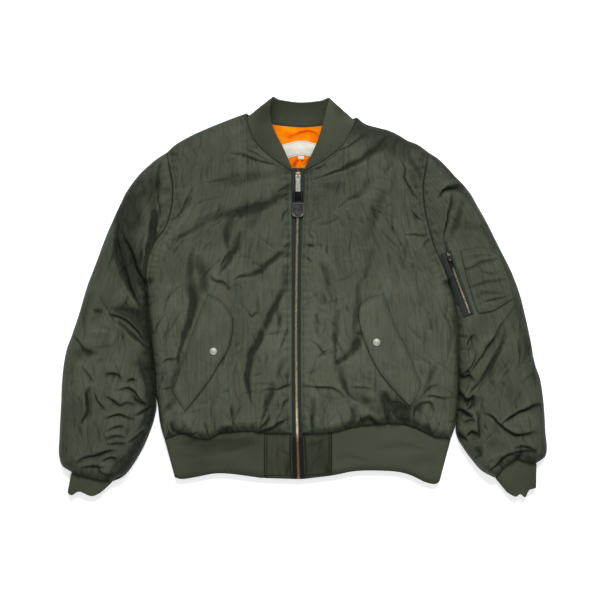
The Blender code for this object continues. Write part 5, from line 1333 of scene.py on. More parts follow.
FOLDS = {"body": BODY_FOLDS, "sleeve": SLEEVE_FOLDS}
WADDING = 0.9  # between the back of the shell and the lining
HEM_END_STITCH = 5.4  # from the edge of a woven end to its stitches
HEM_END_DARK = {"right": 0.06, "left": 0.40}


def with_knots(shares, knots):
    """The shares, with the nearest one moved to each knot."""
    shares = shares.copy()
    for knot in knots:
        shares[np.abs(shares - knot).argmin()] = knot
    return shares


def at_x_knot(line, x, shares, knot):
    """Points along a line whose point at this x falls on the share called knot."""
    i = int(np.abs(line[:, 0] - x).argmin())
    return along([line[: i + 1], line[i:]], [0, knot, 1], shares)


def front_grid(side, pitch):
    """A front's points in the plane. Column 0 runs up the side seam and the armhole."""
    lines = LINES[side]
    across, along_it = SPANS["front"]
    us = with_knots(spaced(across, pitch), (0.5, WOVEN_KNOT))
    vs = with_knots(spaced(along_it, pitch), (0.5,))
    hem = at_x_knot(lines["hem"], WOVEN_END[side], us, WOVEN_KNOT)
    top = along([lines["shoulder"][::-1], lines["neck"][::-1]], [0, 0.5, 1], us)
    edge = along([lines["side"][::-1], lines["armhole"][::-1]], [0, 0.5, 1], vs)
    ys = HEM_AT_ZIP + (ZIP_TOP - HEM_AT_ZIP) * vs
    front = np.column_stack([zip_x(ys, side), ys])
    return blend(hem, top, edge, front, us[None, :, None], vs[:, None, None])


def sleeve_grid(side, pitch):
    """A sleeve's points in the plane. Row 0 is the armhole and column 0 the outer edge."""
    lines = LINES[side]
    s, t = (spaced(span, pitch) for span in SPANS["sleeve"])
    head, end = at_shares(lines["armhole"], s), at_shares(lines["sleeve_end"], s)
    outer, inner = at_shares(lines["outseam"], t), at_shares(lines["inseam"], t)
    return blend(head, end, outer, inner, s[None, :, None], t[:, None, None])


def back_grid(pitch):
    """The back's points in the plane, from the right side seam to the left one."""
    right, left = LINES["right"], LINES["left"]
    across, along_it = SPANS["back"]
    us = with_knots(spaced(across, pitch), (0.3, 0.49, 0.51, 0.7))
    vs = with_knots(spaced(along_it, pitch), (0.5,))
    middle = np.array([right["hem"][-1], left["hem"][-1]])
    hem = along([right["hem"], middle, left["hem"][::-1]], [0, 0.49, 0.51, 1], us)
    top = along([right["shoulder"][::-1], BACK_NECK_LINE, left["shoulder"]], [0, 0.3, 0.7, 1], us)
    sides = [along([s["side"][::-1], s["armhole"][::-1]], [0, 0.5, 1], vs) for s in (right, left)]
    return blend(hem, top, *sides, us[None, :, None], vs[:, None, None])


def every_so_many(rows, step):
    """Every so many threads of a grid, from a little inside its edges."""
    inset = 10 if step > 1 else 7
    last = rows - 1 - inset
    return np.unique(np.concatenate([np.arange(inset, last, step), [last]]))


def marks_of(push, dark=0.0):
    """What the finish reads at each point: the shade painted where it lies low among its neighbours, with the
    shade given as dark, and how far it stands out, which the finishes paint paler as wear and as painted
    highlight.
    """
    depth = level_out(push, 14) - push
    return {
        "crease": np.clip(dark + 0.22 * np.maximum(depth, 0), 0, 1),
        "worn": np.clip(-0.6 * depth, 0, 1),
    }


def panel(name, outer, inner, up, cloth, marks, node, step, lower=0.0):
    """A panel's shell and the lining inside it, which lie in the space of the panel's wall."""
    shell = wall(f"shell_{name}", outer, inner + WADDING * up, "nylon", cloth, marks)
    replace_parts(shell, node)
    few = np.ix_(every_so_many(outer.shape[0], step), every_so_many(outer.shape[1], step))
    sunk = inner - lower
    face = sunk[few] + (WADDING - 0.2) * up[few]
    lining = wall(f"inside_{name}", face, sunk[few], "lining", cloth[few])
    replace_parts(lining, node)


def top_panel(side, part, seed):
    """A front or the upper half of a sleeve, with its folds."""
    grid = front_grid(side, FINE_PITCH) if part == "body" else sleeve_grid(side, FINE_PITCH)
    shape = grid.shape[:2]
    flat, cloth = grid.reshape(-1, 2), lengths(grid)
    height, upward = surface(flat, side, part)
    rise, dark = folded(flat, FOLDS[part])
    keep = calm(flat, side, part)
    small, small_dark = crumple(cloth.reshape(-1, 2), seed)
    drawn, thread_dark = sewn(flat, side, part)
    gather, gather_dark = gathered(flat, side, part, seed)
    push = (np.clip(rise, *FOLD_LIMITS) + small) * keep + drawn + gather
    # painted shade from the folds, the small creases, the seams, the gathers, round the outline and round the
    # flaps
    dark = dark + small_dark * keep + thread_dark + gather_dark + shaded_rim(flat, side, part)
    if part == "body":
        for name, shadow in FLAP_SHADOWS.items():
            gap = nearest(flat, smooth(FLAPS[side][name]))[0]
            dark += shadow * np.exp(-((gap / FLAP_SHADOW_REACH) ** 2))
    dark = np.clip(dark, 0, 1)
    base, up = np.dstack([grid, height.reshape(shape)]), upward.reshape(*shape, 3)
    outer = settle(base + push.reshape(*shape, 1) * up, SPARE, HOLD, ROUNDS, seed)
    push = ((outer - base) * up).sum(2)
    # the wadding evens out what the shell does, so the back of the shell is smoother than its face
    low = np.minimum(level_out(lowest_near(np.minimum(push, 0.8 * push), 3), 8), push + 1.2)
    outer, inner = trim(outer, base + (low - SHELL)[..., None] * up)
    name = f"front_{side}" if part == "body" else f"sleeve_{side}_top"
    marks = marks_of(push, dark.reshape(shape))
    armpit = np.linalg.norm(grid - LINES[side]["side"][0], axis=2)[..., None]
    lower = (low - lowest_near(low, 3))[..., None] * up
    lower = lower + np.exp(-((armpit / ARMPIT_SINK_REACH) ** 2)) * [0, 0, ARMPIT_SINK]
    panel(name, outer, inner, up, cloth, marks, name, LINING_STEP, lower)


def under_panel(name, grid, edges, seed):
    """A panel that lies on the floor and curls up at its outline."""
    shape = grid.shape[:2]
    flat, cloth = grid.reshape(-1, 2), lengths(grid)
    height, downward = np.zeros(len(flat)), np.tile([0.0, 0.0, -1.0], (len(flat), 1))
    inside = np.ones(len(flat))
    for line in edges:
        gap, _, _, away = nearest(flat, line)
        here = SIDE_SEAM_HEIGHT * (1 - quarter_round(gap / UNDER_ROLL))
        higher = here > height
        level = np.clip(1 - gap / UNDER_ROLL, 0, 1)
        tilt = np.column_stack([-away * level[:, None], -np.sqrt(np.maximum(1 - level**2, 0))])
        height[higher], downward[higher] = here[higher], tilt[higher]
        inside = np.minimum(inside, np.clip((gap - UNDER_ROLL) / 14, 0, 1))
    push = (np.clip(0.7 + crumple(cloth.reshape(-1, 2), seed)[0], 0, 1.8) * inside).reshape(shape)
    down = downward.reshape(*shape, 3)
    outer = np.dstack([grid, height.reshape(shape)])
    outer, inner = trim(outer - push[..., None] * down, outer - SHELL * down)
    panel(name, outer, inner, down, cloth, marks_of(-push), name, 1)


def make_shell():
    every_edge = {side: [inside_on_left(side, name) for name in EDGE_REACH] for side in CURVES}
    for i, side in enumerate(CURVES):
        for part in FOLDS:
            top_panel(side, part, SEEDS[part] + i)
        under_half = sleeve_grid(side, PLAIN_PITCH)
        under_panel(f"sleeve_{side}_under", under_half, every_edge[side], SEEDS["under"] + i)
    all_round = every_edge["right"] + every_edge["left"]
    under_panel("back", back_grid(PLAIN_PITCH), all_round, SEEDS["back"])


# ---- Knit bands


def rows_to_edge(length, pitch):
    """Shares down a knit band, closer together at its seam and its free edge."""
    near = np.array([0.2, 1.4, 3.0])
    end = np.array([2.4, 1.6, 1.0, 0.5, 0.2, 0.0])
    count = max(round((length - near[-1] - end[0]) / pitch), 2)
    middle = np.linspace(near[-1], length - end[0], count + 1)[1:-1]
    return np.concatenate([near, middle, length - end]) / length


def raise_ribs(outer, inner, shares, length, swell=None):
    """Both faces of a knit band with its ribs raised and its free edge rolled, and the valleys' depth."""
    rows, columns = outer.shape[:2]
    normal = (outer - inner) / np.linalg.norm(outer - inner, axis=2, keepdims=True)
    phase = np.arange(columns) % RIB_COLUMNS / RIB_COLUMNS
    crest = np.tile(0.5 - 0.5 * np.cos(math.tau * phase), (rows, 1))
    drawn = (1 - quarter_round((1 - shares) * length / (KNIT / 2)))[:, None]
    sewn_in = 0.8 * np.exp(-((shares * length / 2.0) ** 2))[:, None]
    lift = RIB_DEPTH * (crest - 0.5) * (1 - drawn) - drawn * (KNIT / 2 - 0.15) - sewn_in
    outer, inner = outer + lift[..., None] * normal, inner - lift[..., None] * normal
    if swell is not None:
        outer, inner = outer + swell, inner + swell
    outer[..., 2] = np.maximum(outer[..., 2], 0)
    return outer, inner, {"valley": 1 - crest}


def flattened(line, shares, upper, height):
    """(outer, inner) points of one layer of a flattened knit tube, whose edges are the line's ends."""
    ahead = at_shares(line, np.minimum(shares + 0.01, 1)) - at_shares(line, np.maximum(shares - 0.01, 0))
    ahead /= np.linalg.norm(ahead, axis=1)[:, None]
    length = steps_of(line).sum()
    radius = height / 2
    from_start, from_end = shares * length / radius, (1 - shares) * length / radius
    level = np.maximum(1 - from_end, 0) - np.maximum(1 - from_start, 0)
    up = np.sqrt(1 - level**2) * (1 if upper else -1)
    outer = np.column_stack([at_shares(line, shares), radius + radius * up])
    inner = outer - KNIT * np.column_stack([ahead * level[:, None], up])
    return outer, inner


def between(first, last, share, count=60):
    """A line part of the way from one line to another."""
    t = np.linspace(0, 1, count)
    return (1 - share) * at_shares(first, t) + share * at_shares(last, t)


def closed_round(field):
    """A band's rows of points, carried over its free edge, back along the inside and round to the start."""
    around = np.concatenate([field[0], field[1][::-1], field[0][:1]])
    return np.concatenate([around, around[:, :1]], axis=1)


def tube(name, outer, inner, finish_name, valley):
    """A closed sleeve of cloth. Each row of points is one ring, not repeated at its end."""
    points = closed_round((outer, inner))
    rows, columns = points.shape[:2]
    at, cloth = (points * MM).reshape(-1, 3).tolist(), lengths(points).reshape(-1, 2) * MM
    dark = closed_round((valley[..., None], valley[..., None])).ravel().tolist()
    bm, place, shade = grid_mesh(rows, columns, "valley")
    laid = bm.loops.layers.uv.new("cloth")
    for face in bm.faces:
        for loop in face.loops:
            loop[laid].uv = cloth[loop.vert[place]]
    for vert in bm.verts:
        vert.co, vert[shade] = at[vert[place]], dark[vert[place]]
    bmesh.ops.remove_doubles(bm, verts=bm.verts[:], dist=1e-7)
    bmesh.ops.recalc_face_normals(bm, faces=bm.faces[:])
    bm.verts.layers.int.remove(place)
    return shaded(add_object(name, bm, finish_name))


def make_cuff(side):
    first, last = LINES[side]["sleeve_end"], LINES[side]["cuff_end"]
    width = steps_of(first).sum()
    deep = np.linalg.norm(first.mean(axis=0) - last.mean(axis=0))
    half = RIB_COLUMNS * round(width / RIB_PITCH)
    over, under = np.linspace(0, 1, half + 1), np.linspace(1, 0, half + 1)[1:-1]
    rings, shares = [], rows_to_edge(deep, 2.4)
    for share in shares:
        line = between(first, last, share)
        top, below = flattened(line, over, True, CUFF_HEIGHT), flattened(line, under, False, CUFF_HEIGHT)
        rings.append([np.concatenate(pair) for pair in zip(top, below)])
    outer, inner = (np.array([ring[k] for ring in rings]) for k in (0, 1))
    swell = ripple(outer[..., :2].reshape(-1, 2), (16, 30), SEEDS["cuff"]).reshape(outer.shape[:2])
    swell *= 1.6 * np.clip(outer[..., 2] / CUFF_HEIGHT - 0.4, 0, 1) * np.clip(4 * shares, 0, 1)[:, None]
    outer, inner, marks = raise_ribs(outer, inner, shares, deep, np.dstack([0 * swell, 0 * swell, swell]))
    # painted shade in the rib valleys
    cuff = tube(f"knit_cuff_{side}", outer, inner, "knit", 0.2 * marks["valley"])
    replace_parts(cuff, f"cuff_{side}")


def layer(points, upper, end):
    """(outer, inner) of one layer of the hem band through these points, rounded over at its side edges."""
    run = run_of(steps_of(points))
    ahead = np.gradient(points, axis=0)
    ahead /= np.linalg.norm(ahead, axis=1)[:, None]
    radius = HEM_HEIGHT / 2
    level = -np.maximum(1 - run / radius, 0)
    if end == "both":
        level += np.maximum(1 - (run[-1] - run) / radius, 0)
    up = np.sqrt(1 - level**2) * (1 if upper else -1)
    outer = np.column_stack([points, radius + radius * up])
    return np.array([outer, outer - KNIT * np.column_stack([ahead * level[:, None], up])])


def make_hem_end(side, top, foot):
    """The woven end of the hem band beside the zip, between its top and foot lines."""
    across, down = spaced(60, 2.0), spaced(HEM_DEPTH, 2.0)
    first, last = at_shares(top, across), at_shares(foot, across)
    grid = (1 - down)[:, None, None] * first + down[:, None, None] * last
    cloth, rim = lengths(grid), from_rim(grid)
    wrinkles = crumple(cloth.reshape(-1, 2), SEEDS["hem_end"][side])
    small, small_dark = (field.reshape(rim.shape) for field in wrinkles)
    push = small * np.clip(rim / 8, 0, 1)
    push -= 1.0 * np.exp(-((rim / 1.3) ** 2)) + 0.9 * np.exp(-(((rim - HEM_END_STITCH) / 1.6) ** 2))
    outer = np.dstack([grid, HEM_HEIGHT + push])
    inner = np.dstack([grid, np.full(rim.shape, HEM_HEIGHT - KNIT)])
    beside_zip = cloth[..., 0].max() - cloth[..., 0]
    # painted shade in the small creases, beside the zip, along the stitch rows and edges; each end darker all
    # over by HEM_END_DARK, and less of it along the top
    groove = 1.4 * small_dark + HEM_END_DARK[side] + 0.9 * np.exp(-(((beside_zip - 5.0) / 2.6) ** 2))
    from_sides, from_foot = np.minimum(beside_zip, cloth[..., 0]), cloth[..., 1].max() - cloth[..., 1]
    for gap, dark in ((from_sides, 1.1), (from_foot, 0.9)):
        groove += dark * (np.exp(-(((gap - HEM_END_STITCH) / 1.5) ** 2)) + np.exp(-((gap / 2.2) ** 2)))
    groove -= 0.5 * np.exp(-((cloth[..., 1] / 14) ** 2))
    marks = marks_of(push, np.clip(groove, 0, 1))
    facing = wall(f"hem_facing_{side}", *trim(outer, inner), "facing", cloth, marks)
    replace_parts(facing, f"hem_end_{side}")


def make_hem():
    """The knit band, open between its two woven ends, and those ends."""
    knit, woven = {}, {}
    for side, lines in LINES.items():
        pair = [lines["hem"], lines["rib_bottom"]]
        knots = [int(np.abs(line[:, 0] - WOVEN_END[side]).argmin()) for line in pair]
        knit[side] = [line[: i + 1] for line, i in zip(pair, knots)]
        woven[side] = [line[i:] for line, i in zip(pair, knots)]
    backs = [np.vstack([LINES["right"][name], LINES["left"][name][::-1]]) for name in ("hem", "rib_bottom")]

    def run_between(lines, share):
        count = RIB_COLUMNS * round(abs(np.ptp(lines[0][:, 0])) / RIB_PITCH) + 1
        t = np.linspace(0, 1, count)
        return (1 - share) * at_shares(lines[0], t) + share * at_shares(lines[1], t)

    rings, shares = [], rows_to_edge(HEM_DEPTH, 3.4)
    for share in shares:
        rings.append(np.concatenate([
            layer(run_between(knit["right"], share), True, "start")[:, ::-1],
            layer(run_between(backs, share), False, "both")[:, 1:-1],
            layer(run_between(knit["left"], share), True, "start"),
        ], axis=1))
    outer, inner = (np.array([ring[k] for ring in rings]) for k in (0, 1))
    swell = np.clip(outer[..., 2] / HEM_HEIGHT * 4 - 3, 0, 1) * np.sin(shares * math.pi)[:, None]
    swell *= 1.4 * ripple(outer[..., :2].reshape(-1, 2), (48, 90), SEEDS["hem"]).reshape(swell.shape)
    upper = outer[..., 2] > HEM_HEIGHT - 2
    # painted shade along the band's folds
    folds = folded(outer[..., :2].reshape(-1, 2), HEM_FOLDS)
    rise, dark = (field.reshape(swell.shape) * upper for field in folds)
    swell = swell + np.clip(rise, -2.6, 2) * np.clip(4 * np.minimum(shares, 1 - shares), 0, 1)[:, None]
    upward = np.dstack([0 * swell, 0 * swell, swell])
    outer, inner, marks = raise_ribs(outer, inner, shares, HEM_DEPTH, upward)
    # painted shade along the rolled free edge, where the band turns under
    edge = 0.9 * np.exp(-(((1 - shares) * HEM_DEPTH / 9) ** 2))[:, None] * upper
    marks["valley"] = np.clip(0.35 * marks["valley"] + 0.75 * dark + edge, 0, 1)
    band = wall("knit_hem", *trim(outer, inner), "knit", marks=marks)
    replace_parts(band, "hem_rib")
    for side, (top, foot) in woven.items():
        make_hem_end(side, top, foot)


def under_height(points):
    """The height of the back's underside."""
    edges = [inside_on_left(side, name) for side in CURVES for name in EDGE_REACH]
    gap = np.min([nearest(points, line)[0] for line in edges], axis=0)
    return SIDE_SEAM_HEIGHT * (1 - quarter_round(gap / UNDER_ROLL))


def collar_lines():
    """The collar's seam and its free edge in space, with as many points as the ribs need."""
    seam, where = [], []
    leaves, meets = NECK_KNOTS
    for side, low, high in (("right", 0, leaves), (None, leaves, meets), ("left", meets, 1)):
        local = np.linspace(0, 1, 200)[1 if side != "right" else 0:]
        if side:
            line = LINES[side]["neck"][:: 1 if side == "right" else -1]
            flat = at_shares(line, local)
            height = surface(flat, side, "body")[0]
        else:
            flat = at_shares(BACK_NECK_LINE, local)
            height = under_height(flat)
        seam.append(np.column_stack([flat, height]))
        where.append(low + (high - low) * local)
    seam, where = np.concatenate(seam), np.concatenate(where)
    fine = smooth(COLLAR_EDGE, 8)
    free = np.column_stack([np.interp(where, fine[:, 0], fine[:, k]) for k in (1, 2, 3)])
    rounded = seam.copy()
    for _ in range(300):
        rounded[1:-1] = (rounded[:-2] + 2 * rounded[1:-1] + rounded[2:]) / 4
    rounded += COLLAR_CORNER_GAP * (free - rounded) / np.linalg.norm(free - rounded, axis=1)[:, None]
    near = np.exp(-((np.minimum(np.abs(where - leaves), np.abs(where - meets)) / 0.035) ** 2))[:, None]
    seam = seam * (1 - near) + rounded * near
    run = run_of(steps_of((seam + free) / 2))
    even = np.linspace(0, run[-1], RIB_COLUMNS * round(run[-1] / RIB_PITCH) + 1)
    seam, free = (
        np.column_stack([np.interp(even, run, line[:, k]) for k in range(3)]) for line in (seam, free)
    )
    return seam, free, run[-1]


def normals(points, times):
    """The way out of a grid of points, levelled out this many times."""
    found = np.cross(np.gradient(points, axis=0), np.gradient(points, axis=1))
    found /= np.linalg.norm(found, axis=2, keepdims=True)
    found = np.dstack([level_out(found[..., k], times) for k in range(3)])
    return found / np.linalg.norm(found, axis=2, keepdims=True)


def make_collar():
    """The knit band round the neck. Its front falls inwards and its back leans out behind."""
    seam, free, length = collar_lines()
    shares = rows_to_edge(COLLAR_DEPTH, 3.2)
    rows = shares[:, None, None]
    outer = (1 - rows) * seam[None] + rows * free[None]
    outer = outer + COLLAR_BULGE * np.sin(rows * math.pi) * normals(outer, 20)
    outer[..., 2] = np.maximum(outer[..., 2], 0)
    normal = normals(outer, 60)
    outer, inner, marks = raise_ribs(outer, outer - KNIT * normal, shares, COLLAR_DEPTH)
    tucked = np.clip((seam[:, 2:] - 14) / 8, 0, 1)
    away = (seam - free) * [1, 1, 0]
    away /= np.linalg.norm(away, axis=1)[:, None]
    drop = [0, 0, 4.2] * tucked
    low = (0.1 + 1.5 * tucked) * away - drop, (0.05 - 0.2 * tucked) * away - drop
    outer, inner = (np.concatenate([[face[0] + low[0]], [face[0] + low[1]], face]) for face in (outer, inner))
    # painted shade over the collar's wings, and in the rib valleys
    dark = folded(outer[2:, :, :2].reshape(-1, 2), COLLAR_FOLDS)[1].reshape(marks["valley"].shape)
    valley = np.clip(0.35 * marks["valley"] + dark, 0, 1)
    marks = {"valley": np.vstack([valley[:1], valley[:1], valley])}
    band = wall("knit_collar", *trim(outer, inner), "knit", marks=marks)
    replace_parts(band, "collar")


# ---- Pieces that lie on a panel


def ground(*names):
    """The pieces' own surfaces, to lay things on."""
    trees = []
    for name in names:
        mesh = bpy.data.objects[name].data
        points = [vert.co[:] for vert in mesh.vertices]
        trees.append(BVHTree.FromPolygons(points, [tuple(face.vertices) for face in mesh.polygons]))
    return trees


def height_on(trees, points):
    """The height of the highest piece at each point of the plane, in millimetres."""
    found = []
    for x, y in points:
        hits = [tree.ray_cast(Vector((x * MM, y * MM, 1)), Vector((0, 0, -1)))[0] for tree in trees]
        found.append(max((hit.z for hit in hits if hit is not None), default=0) / MM)
    return np.array(found)


def laid_grid(edges, sides, width, depth, pitch):
    """A grid in the plane between four edges: top, foot, and the two sides from the top down."""
    first, last, left, right = (smooth(edges[name]) for name in ("top", "foot", *sides))
    across, down = spaced(width, pitch), spaced(depth, pitch)
    return blend(
        at_shares(first, across), at_shares(last, across), at_shares(left, down), at_shares(right, down),
        across[None, :, None], down[:, None, None],
    )


def from_rim(grid):
    """Each grid point's distance from the nearest edge of the grid, along the cloth."""
    across, down = lengths(grid)[..., 0], lengths(grid)[..., 1]
    return np.minimum.reduce([across, across.max() - across, down, down.max() - down])


def patch(
    name, grid, trees, lift, thickness, finish_name, seed=None, rows=(), strength=0.5, grain=None, folds=()
):
    """A stitched piece of cloth that lies on others, drawn in along its rows of stitches."""
    rim, cloth = from_rim(grid), lengths(grid) if grain is None else grain
    floor = height_on(trees, grid.reshape(-1, 2)).reshape(rim.shape)
    floor = np.maximum(level_out(floor, 12), floor - 0.6)
    push = -0.4 * thickness * np.exp(-((rim / 0.9) ** 2))
    if seed is not None:
        wrinkles = crumple(cloth.reshape(-1, 2), seed)[0].reshape(rim.shape)
        push = push + strength * wrinkles * np.clip(rim / 9, 0, 1)
    # painted shade round the rim, along the folds and along the stitch rows
    dark = 0.7 * np.exp(-((rim / 1.0) ** 2))
    if folds:
        rise, shade = (field.reshape(rim.shape) for field in folded(grid.reshape(-1, 2), folds))
        push, dark = push + np.clip(rise, -1.4, 1), dark + shade
    for row in rows:
        push = push - 0.5 * np.exp(-(((rim - row) / 1.4) ** 2))
        dark = dark + 0.30 * np.exp(-(((rim - row) / 1.0) ** 2))
    outer = np.dstack([grid, floor + lift + thickness + push])
    marks = marks_of(push, dark)
    return wall(name, outer, np.dstack([grid, floor + lift]), finish_name, cloth, marks)


def make_flap(side):
    grid = laid_grid(FLAPS[side], ("hinge", "free"), 60, 215, 2.2)
    trees = ground(f"shell_front_{side}")
    flap = patch(
        f"flap_{side}", grid, trees, FLAP_LIFT, FLAP_THICKNESS, "nylon", SEEDS["flap"], (2.4, 5.0), 0.8, grid
    )
    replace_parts(flap, f"pocket_flap_{side}")


def spun(profile, steps):
    """A closed solid of revolution about Z from (radius, height) rows, in millimetres."""
    bm = bmesh.new()
    verts = [bm.verts.new((radius * MM, 0, height * MM)) for radius, height in profile]
    edges = [bm.edges.new(pair) for pair in zip(verts, verts[1:])]
    bmesh.ops.spin(
        bm, geom=verts + edges, cent=(0, 0, 0), axis=(0, 0, 1), angle=math.tau, steps=steps, use_merge=True
    )
    bmesh.ops.remove_doubles(bm, verts=bm.verts[:], dist=1e-6)
    bmesh.ops.recalc_face_normals(bm, faces=bm.faces[:])
    return bm


def make_snap(side):
    """A domed cap with a rolled rim, spun from its profile."""
    floor = height_on(ground(f"flap_{side}"), [SNAPS[side]])[0] - 0.2
    rim, top = SNAP_RADIUS, SNAP_HEIGHT
    profile = [
        (0, 0.0), (rim - 1.2, 0.0), (rim - 0.3, 0.3), (rim, 0.9), (rim, top - 0.9), (rim - 0.3, top - 0.3),
        (rim - 0.9, top), (rim - 1.5, top), (rim - 1.9, top - 0.25), (rim - 2.4, top - 0.1),
        (rim - 3.6, top + 0.3), (rim - 5.2, top + 0.6), (0.9, top + 0.75), (0, top + 0.78),
    ]
    bm = spun(profile, 40)
    bmesh.ops.translate(bm, verts=bm.verts[:], vec=Vector((*SNAPS[side], floor)) * MM)
    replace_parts(shaded(add_object(f"snap_cap_{side}", bm, "cap"), 30), f"snap_{side}")


def make_neck():
    """The lining that shows at the back of the neck."""
    shares, down = np.linspace(0, 1, 90), np.linspace(0, 1, 90)
    neck = at_shares(BACK_NECK_LINE, 0.08 + 0.84 * shares) - [0, 3]
    foot = np.column_stack([(2 * shares - 1) * LINING["half_width"], np.full(90, LINING["foot"])])
    grid = (1 - down)[:, None, None] * neck[None] + down[:, None, None] * foot[None]
    flat, shape = grid.reshape(-1, 2), grid.shape[:2]
    swell = np.sin(shares * math.pi)[None] ** 0.6 * np.sin(np.minimum(down * 1.6, 1) * math.pi / 2)[:, None]
    # a soft ridge across the lining, nearest to the neck in its middle
    arch = np.exp(-(((down - 0.30)[:, None] - 0.16 * (2 * shares - 1)[None] ** 2) / 0.05) ** 2)
    edge = 1 - np.exp(-((1 - down)[:, None] / 0.1) ** 2)
    floor = SHELL + under_height(flat).reshape(shape)
    # dark is the shade painted along the lining's folds
    rise, dark = folded(flat, LINING_FOLDS)
    rise = (rise + 0.7 * crumple(flat, SEEDS["lining"])[0]).reshape(shape) * np.clip(swell, 0, 1)
    low = floor + LINING["lift"] + swell * edge * (LINING["swell"] + 2.5 * arch)
    high = np.maximum(low + rise, floor + 1.2)
    low = np.minimum(low, high - 0.9)
    outer, inner = np.dstack([grid, high + 0.5]), np.dstack([grid, low])
    lining = wall("lining_neck", outer, inner, "lining", lengths(grid), marks_of(rise, dark.reshape(shape)))
    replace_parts(lining, "lining_back")


def make_labels():
    """The woven label on the lining, and the size tag under it."""
    trees = ground("lining_neck")
    top, bottom = smooth(LABEL["top"]), smooth(LABEL["foot"])
    across, rows = spaced(70, 1.2), spaced(28, 1.2)[:, None, None]
    grid = (1 - rows) * at_shares(top, across)[None] + rows * at_shares(bottom, across)[None]
    label = patch("label_cloth", grid, trees, 0.4, LABEL_THICKNESS, "label", SEEDS["label"], (2.2,), 0.25)
    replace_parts(label, "label")
    x, y, width, height = SIZE_TAG
    across, rows = spaced(width, 1.0) - 0.5, 0.8 * spaced(0.8 * height, 1.0) - 0.4
    grid = np.array([[(x + u * width, y - v * height) for u in across] for v in rows])
    tag = patch("size_tag_cloth", grid, trees, 0.4, LABEL_THICKNESS, "label")
    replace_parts(tag, "size_tag")


# ---- The zips


def block(size, centre, bevel=0.0, segments=2):
    """A bmesh box of this size in millimetres, with its edges rounded."""
    bm = bmesh.new()
    place = Matrix.LocRotScale(Vector(centre) * MM, None, Vector(size) * MM)
    bmesh.ops.create_cube(bm, size=1, matrix=place)
    if bevel:
        bmesh.ops.bevel(
            bm, geom=bm.edges[:], offset=bevel * MM, segments=segments, profile=0.5, affect="EDGES",
            material=-1,
        )
    return bm


def frames_along(points, places):
    """Frames at these distances along a path in millimetres: +Y ahead and +Z up out of the cloth."""
    run = run_of(steps_of(points))
    at, after, before = (
        np.column_stack([np.interp(places + step, run, points[:, k]) for k in range(3)])
        for step in (0, 0.6, -0.6)
    )
    frames = []
    for here, ahead in zip(at, after - before):
        y = Vector(ahead).normalized()
        x = y.cross(Vector((0, 0, 1))).normalized()
        turn = Matrix((x, y, x.cross(y))).transposed().to_4x4()
        frames.append(Matrix.Translation(Vector(here) * MM) @ turn)
    return frames


def teeth(name, frames, size, finish_name, node):
    """Two rows of cast teeth that lie alternately. frames are at half the pitch of a row."""
    bm = bmesh.new()
    width, length, depth = size
    for i, here in enumerate(frames):
        way = 1 if i % 2 else -1
        for wide, deep, shift in ((width, depth, 0.5), (0.45 * width, 1.12 * depth, 0.78)):
            place = Matrix.LocRotScale(
                Vector((way * shift * width * 0.62, 0, 0)) * MM, None, Vector((wide, length, deep)) * MM
            )
            bmesh.ops.create_cube(bm, size=1, matrix=here @ place)
    bmesh.ops.bevel(
        bm, geom=bm.edges[:], offset=0.22 * MM, segments=1, profile=0.5, affect="EDGES", material=-1
    )
    made = shaded(add_object(name, bm, finish_name), 40)
    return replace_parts(made, node)


def zip_points(ends):
    ys = np.arange(ends[0], ends[1] + 1, 2.0)
    return np.column_stack([zip_x(ys), ys, zip_height(ys)])


def make_zip():
    """The two tapes, each with a bead beside the chain and its other edge under the front, and the teeth."""
    for side, way in (("right", -1), ("left", 1)):
        ys = np.append(np.arange(ZIP_BOTTOM, TAPE_TOP - 1, 3.0), TAPE_TOP)
        reach = np.abs(zip_x(ys, side) - zip_x(ys)) - SEAM_GAP - TAPE_CLEAR
        wide = BEAD_THREADS[-1] + (reach[:, None] - BEAD_THREADS[-1]) * TAPE_THREADS
        tucked = reach[:, None] + TUCKED_THREADS
        from_chain = np.hstack([np.tile(BEAD_THREADS, (len(ys), 1)), wide, tucked])
        xs = zip_x(ys)[:, None] + way * (TAPE_CLEAR + from_chain)
        bead = 0.45 * np.exp(-(((from_chain - 0.95) / 0.55) ** 2))
        bead -= 0.25 * np.exp(-(((from_chain - 2.3) / 0.4) ** 2))
        bead -= 1.9 * np.clip(0.3 - from_chain, 0, 0.8) / 0.8
        height = zip_height(ys)[:, None] - TAPE_SINK + bead
        wave_along = np.sin(ys / 8.5 + 2 * ripple(np.column_stack([ys, 0 * ys]), 40, SEEDS["tape"]))[:, None]
        height += 0.25 * wave_along * (np.clip(from_chain - 3, 0, 4) / 4)
        height[:, -2:] -= TUCK_DEPTH
        # painted shadow over the tape in the hem, and painted shade in the groove beside the bead
        shade = np.clip((HEM_AT_ZIP - 2 - ys) / 10, 0, 1.0)[:, None] + 0.5 * np.exp(-np.abs(from_chain - 2.3))
        outer = np.dstack([xs, ys[:, None] + 0 * xs, height])
        inner = np.dstack([outer[..., :2], np.minimum(height, zip_height(ys)[:, None]) - TAPE_THICKNESS])
        if way < 0:
            outer, inner, shade = outer[:, ::-1], inner[:, ::-1], shade[:, ::-1]
        tape = wall(f"tape_{side}", outer, inner, "tape", marks={"crease": np.clip(shade, 0, 1)})
        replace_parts(tape, f"zip_tape_{side}")
    low, high = ZIP_BOTTOM + 5.5, CHAIN_TOP - 1
    points = zip_points((low, high))
    points[:, 2] += CHAIN_RISE - CHAIN_DEPTH / 2
    frames = frames_along(points, np.arange(0.5, high - low - 0.5, TOOTH_PITCH / 2))
    teeth("zip_teeth", frames, (3.3, 0.62 * TOOTH_PITCH, 2.4), "brass", "zip_chain")


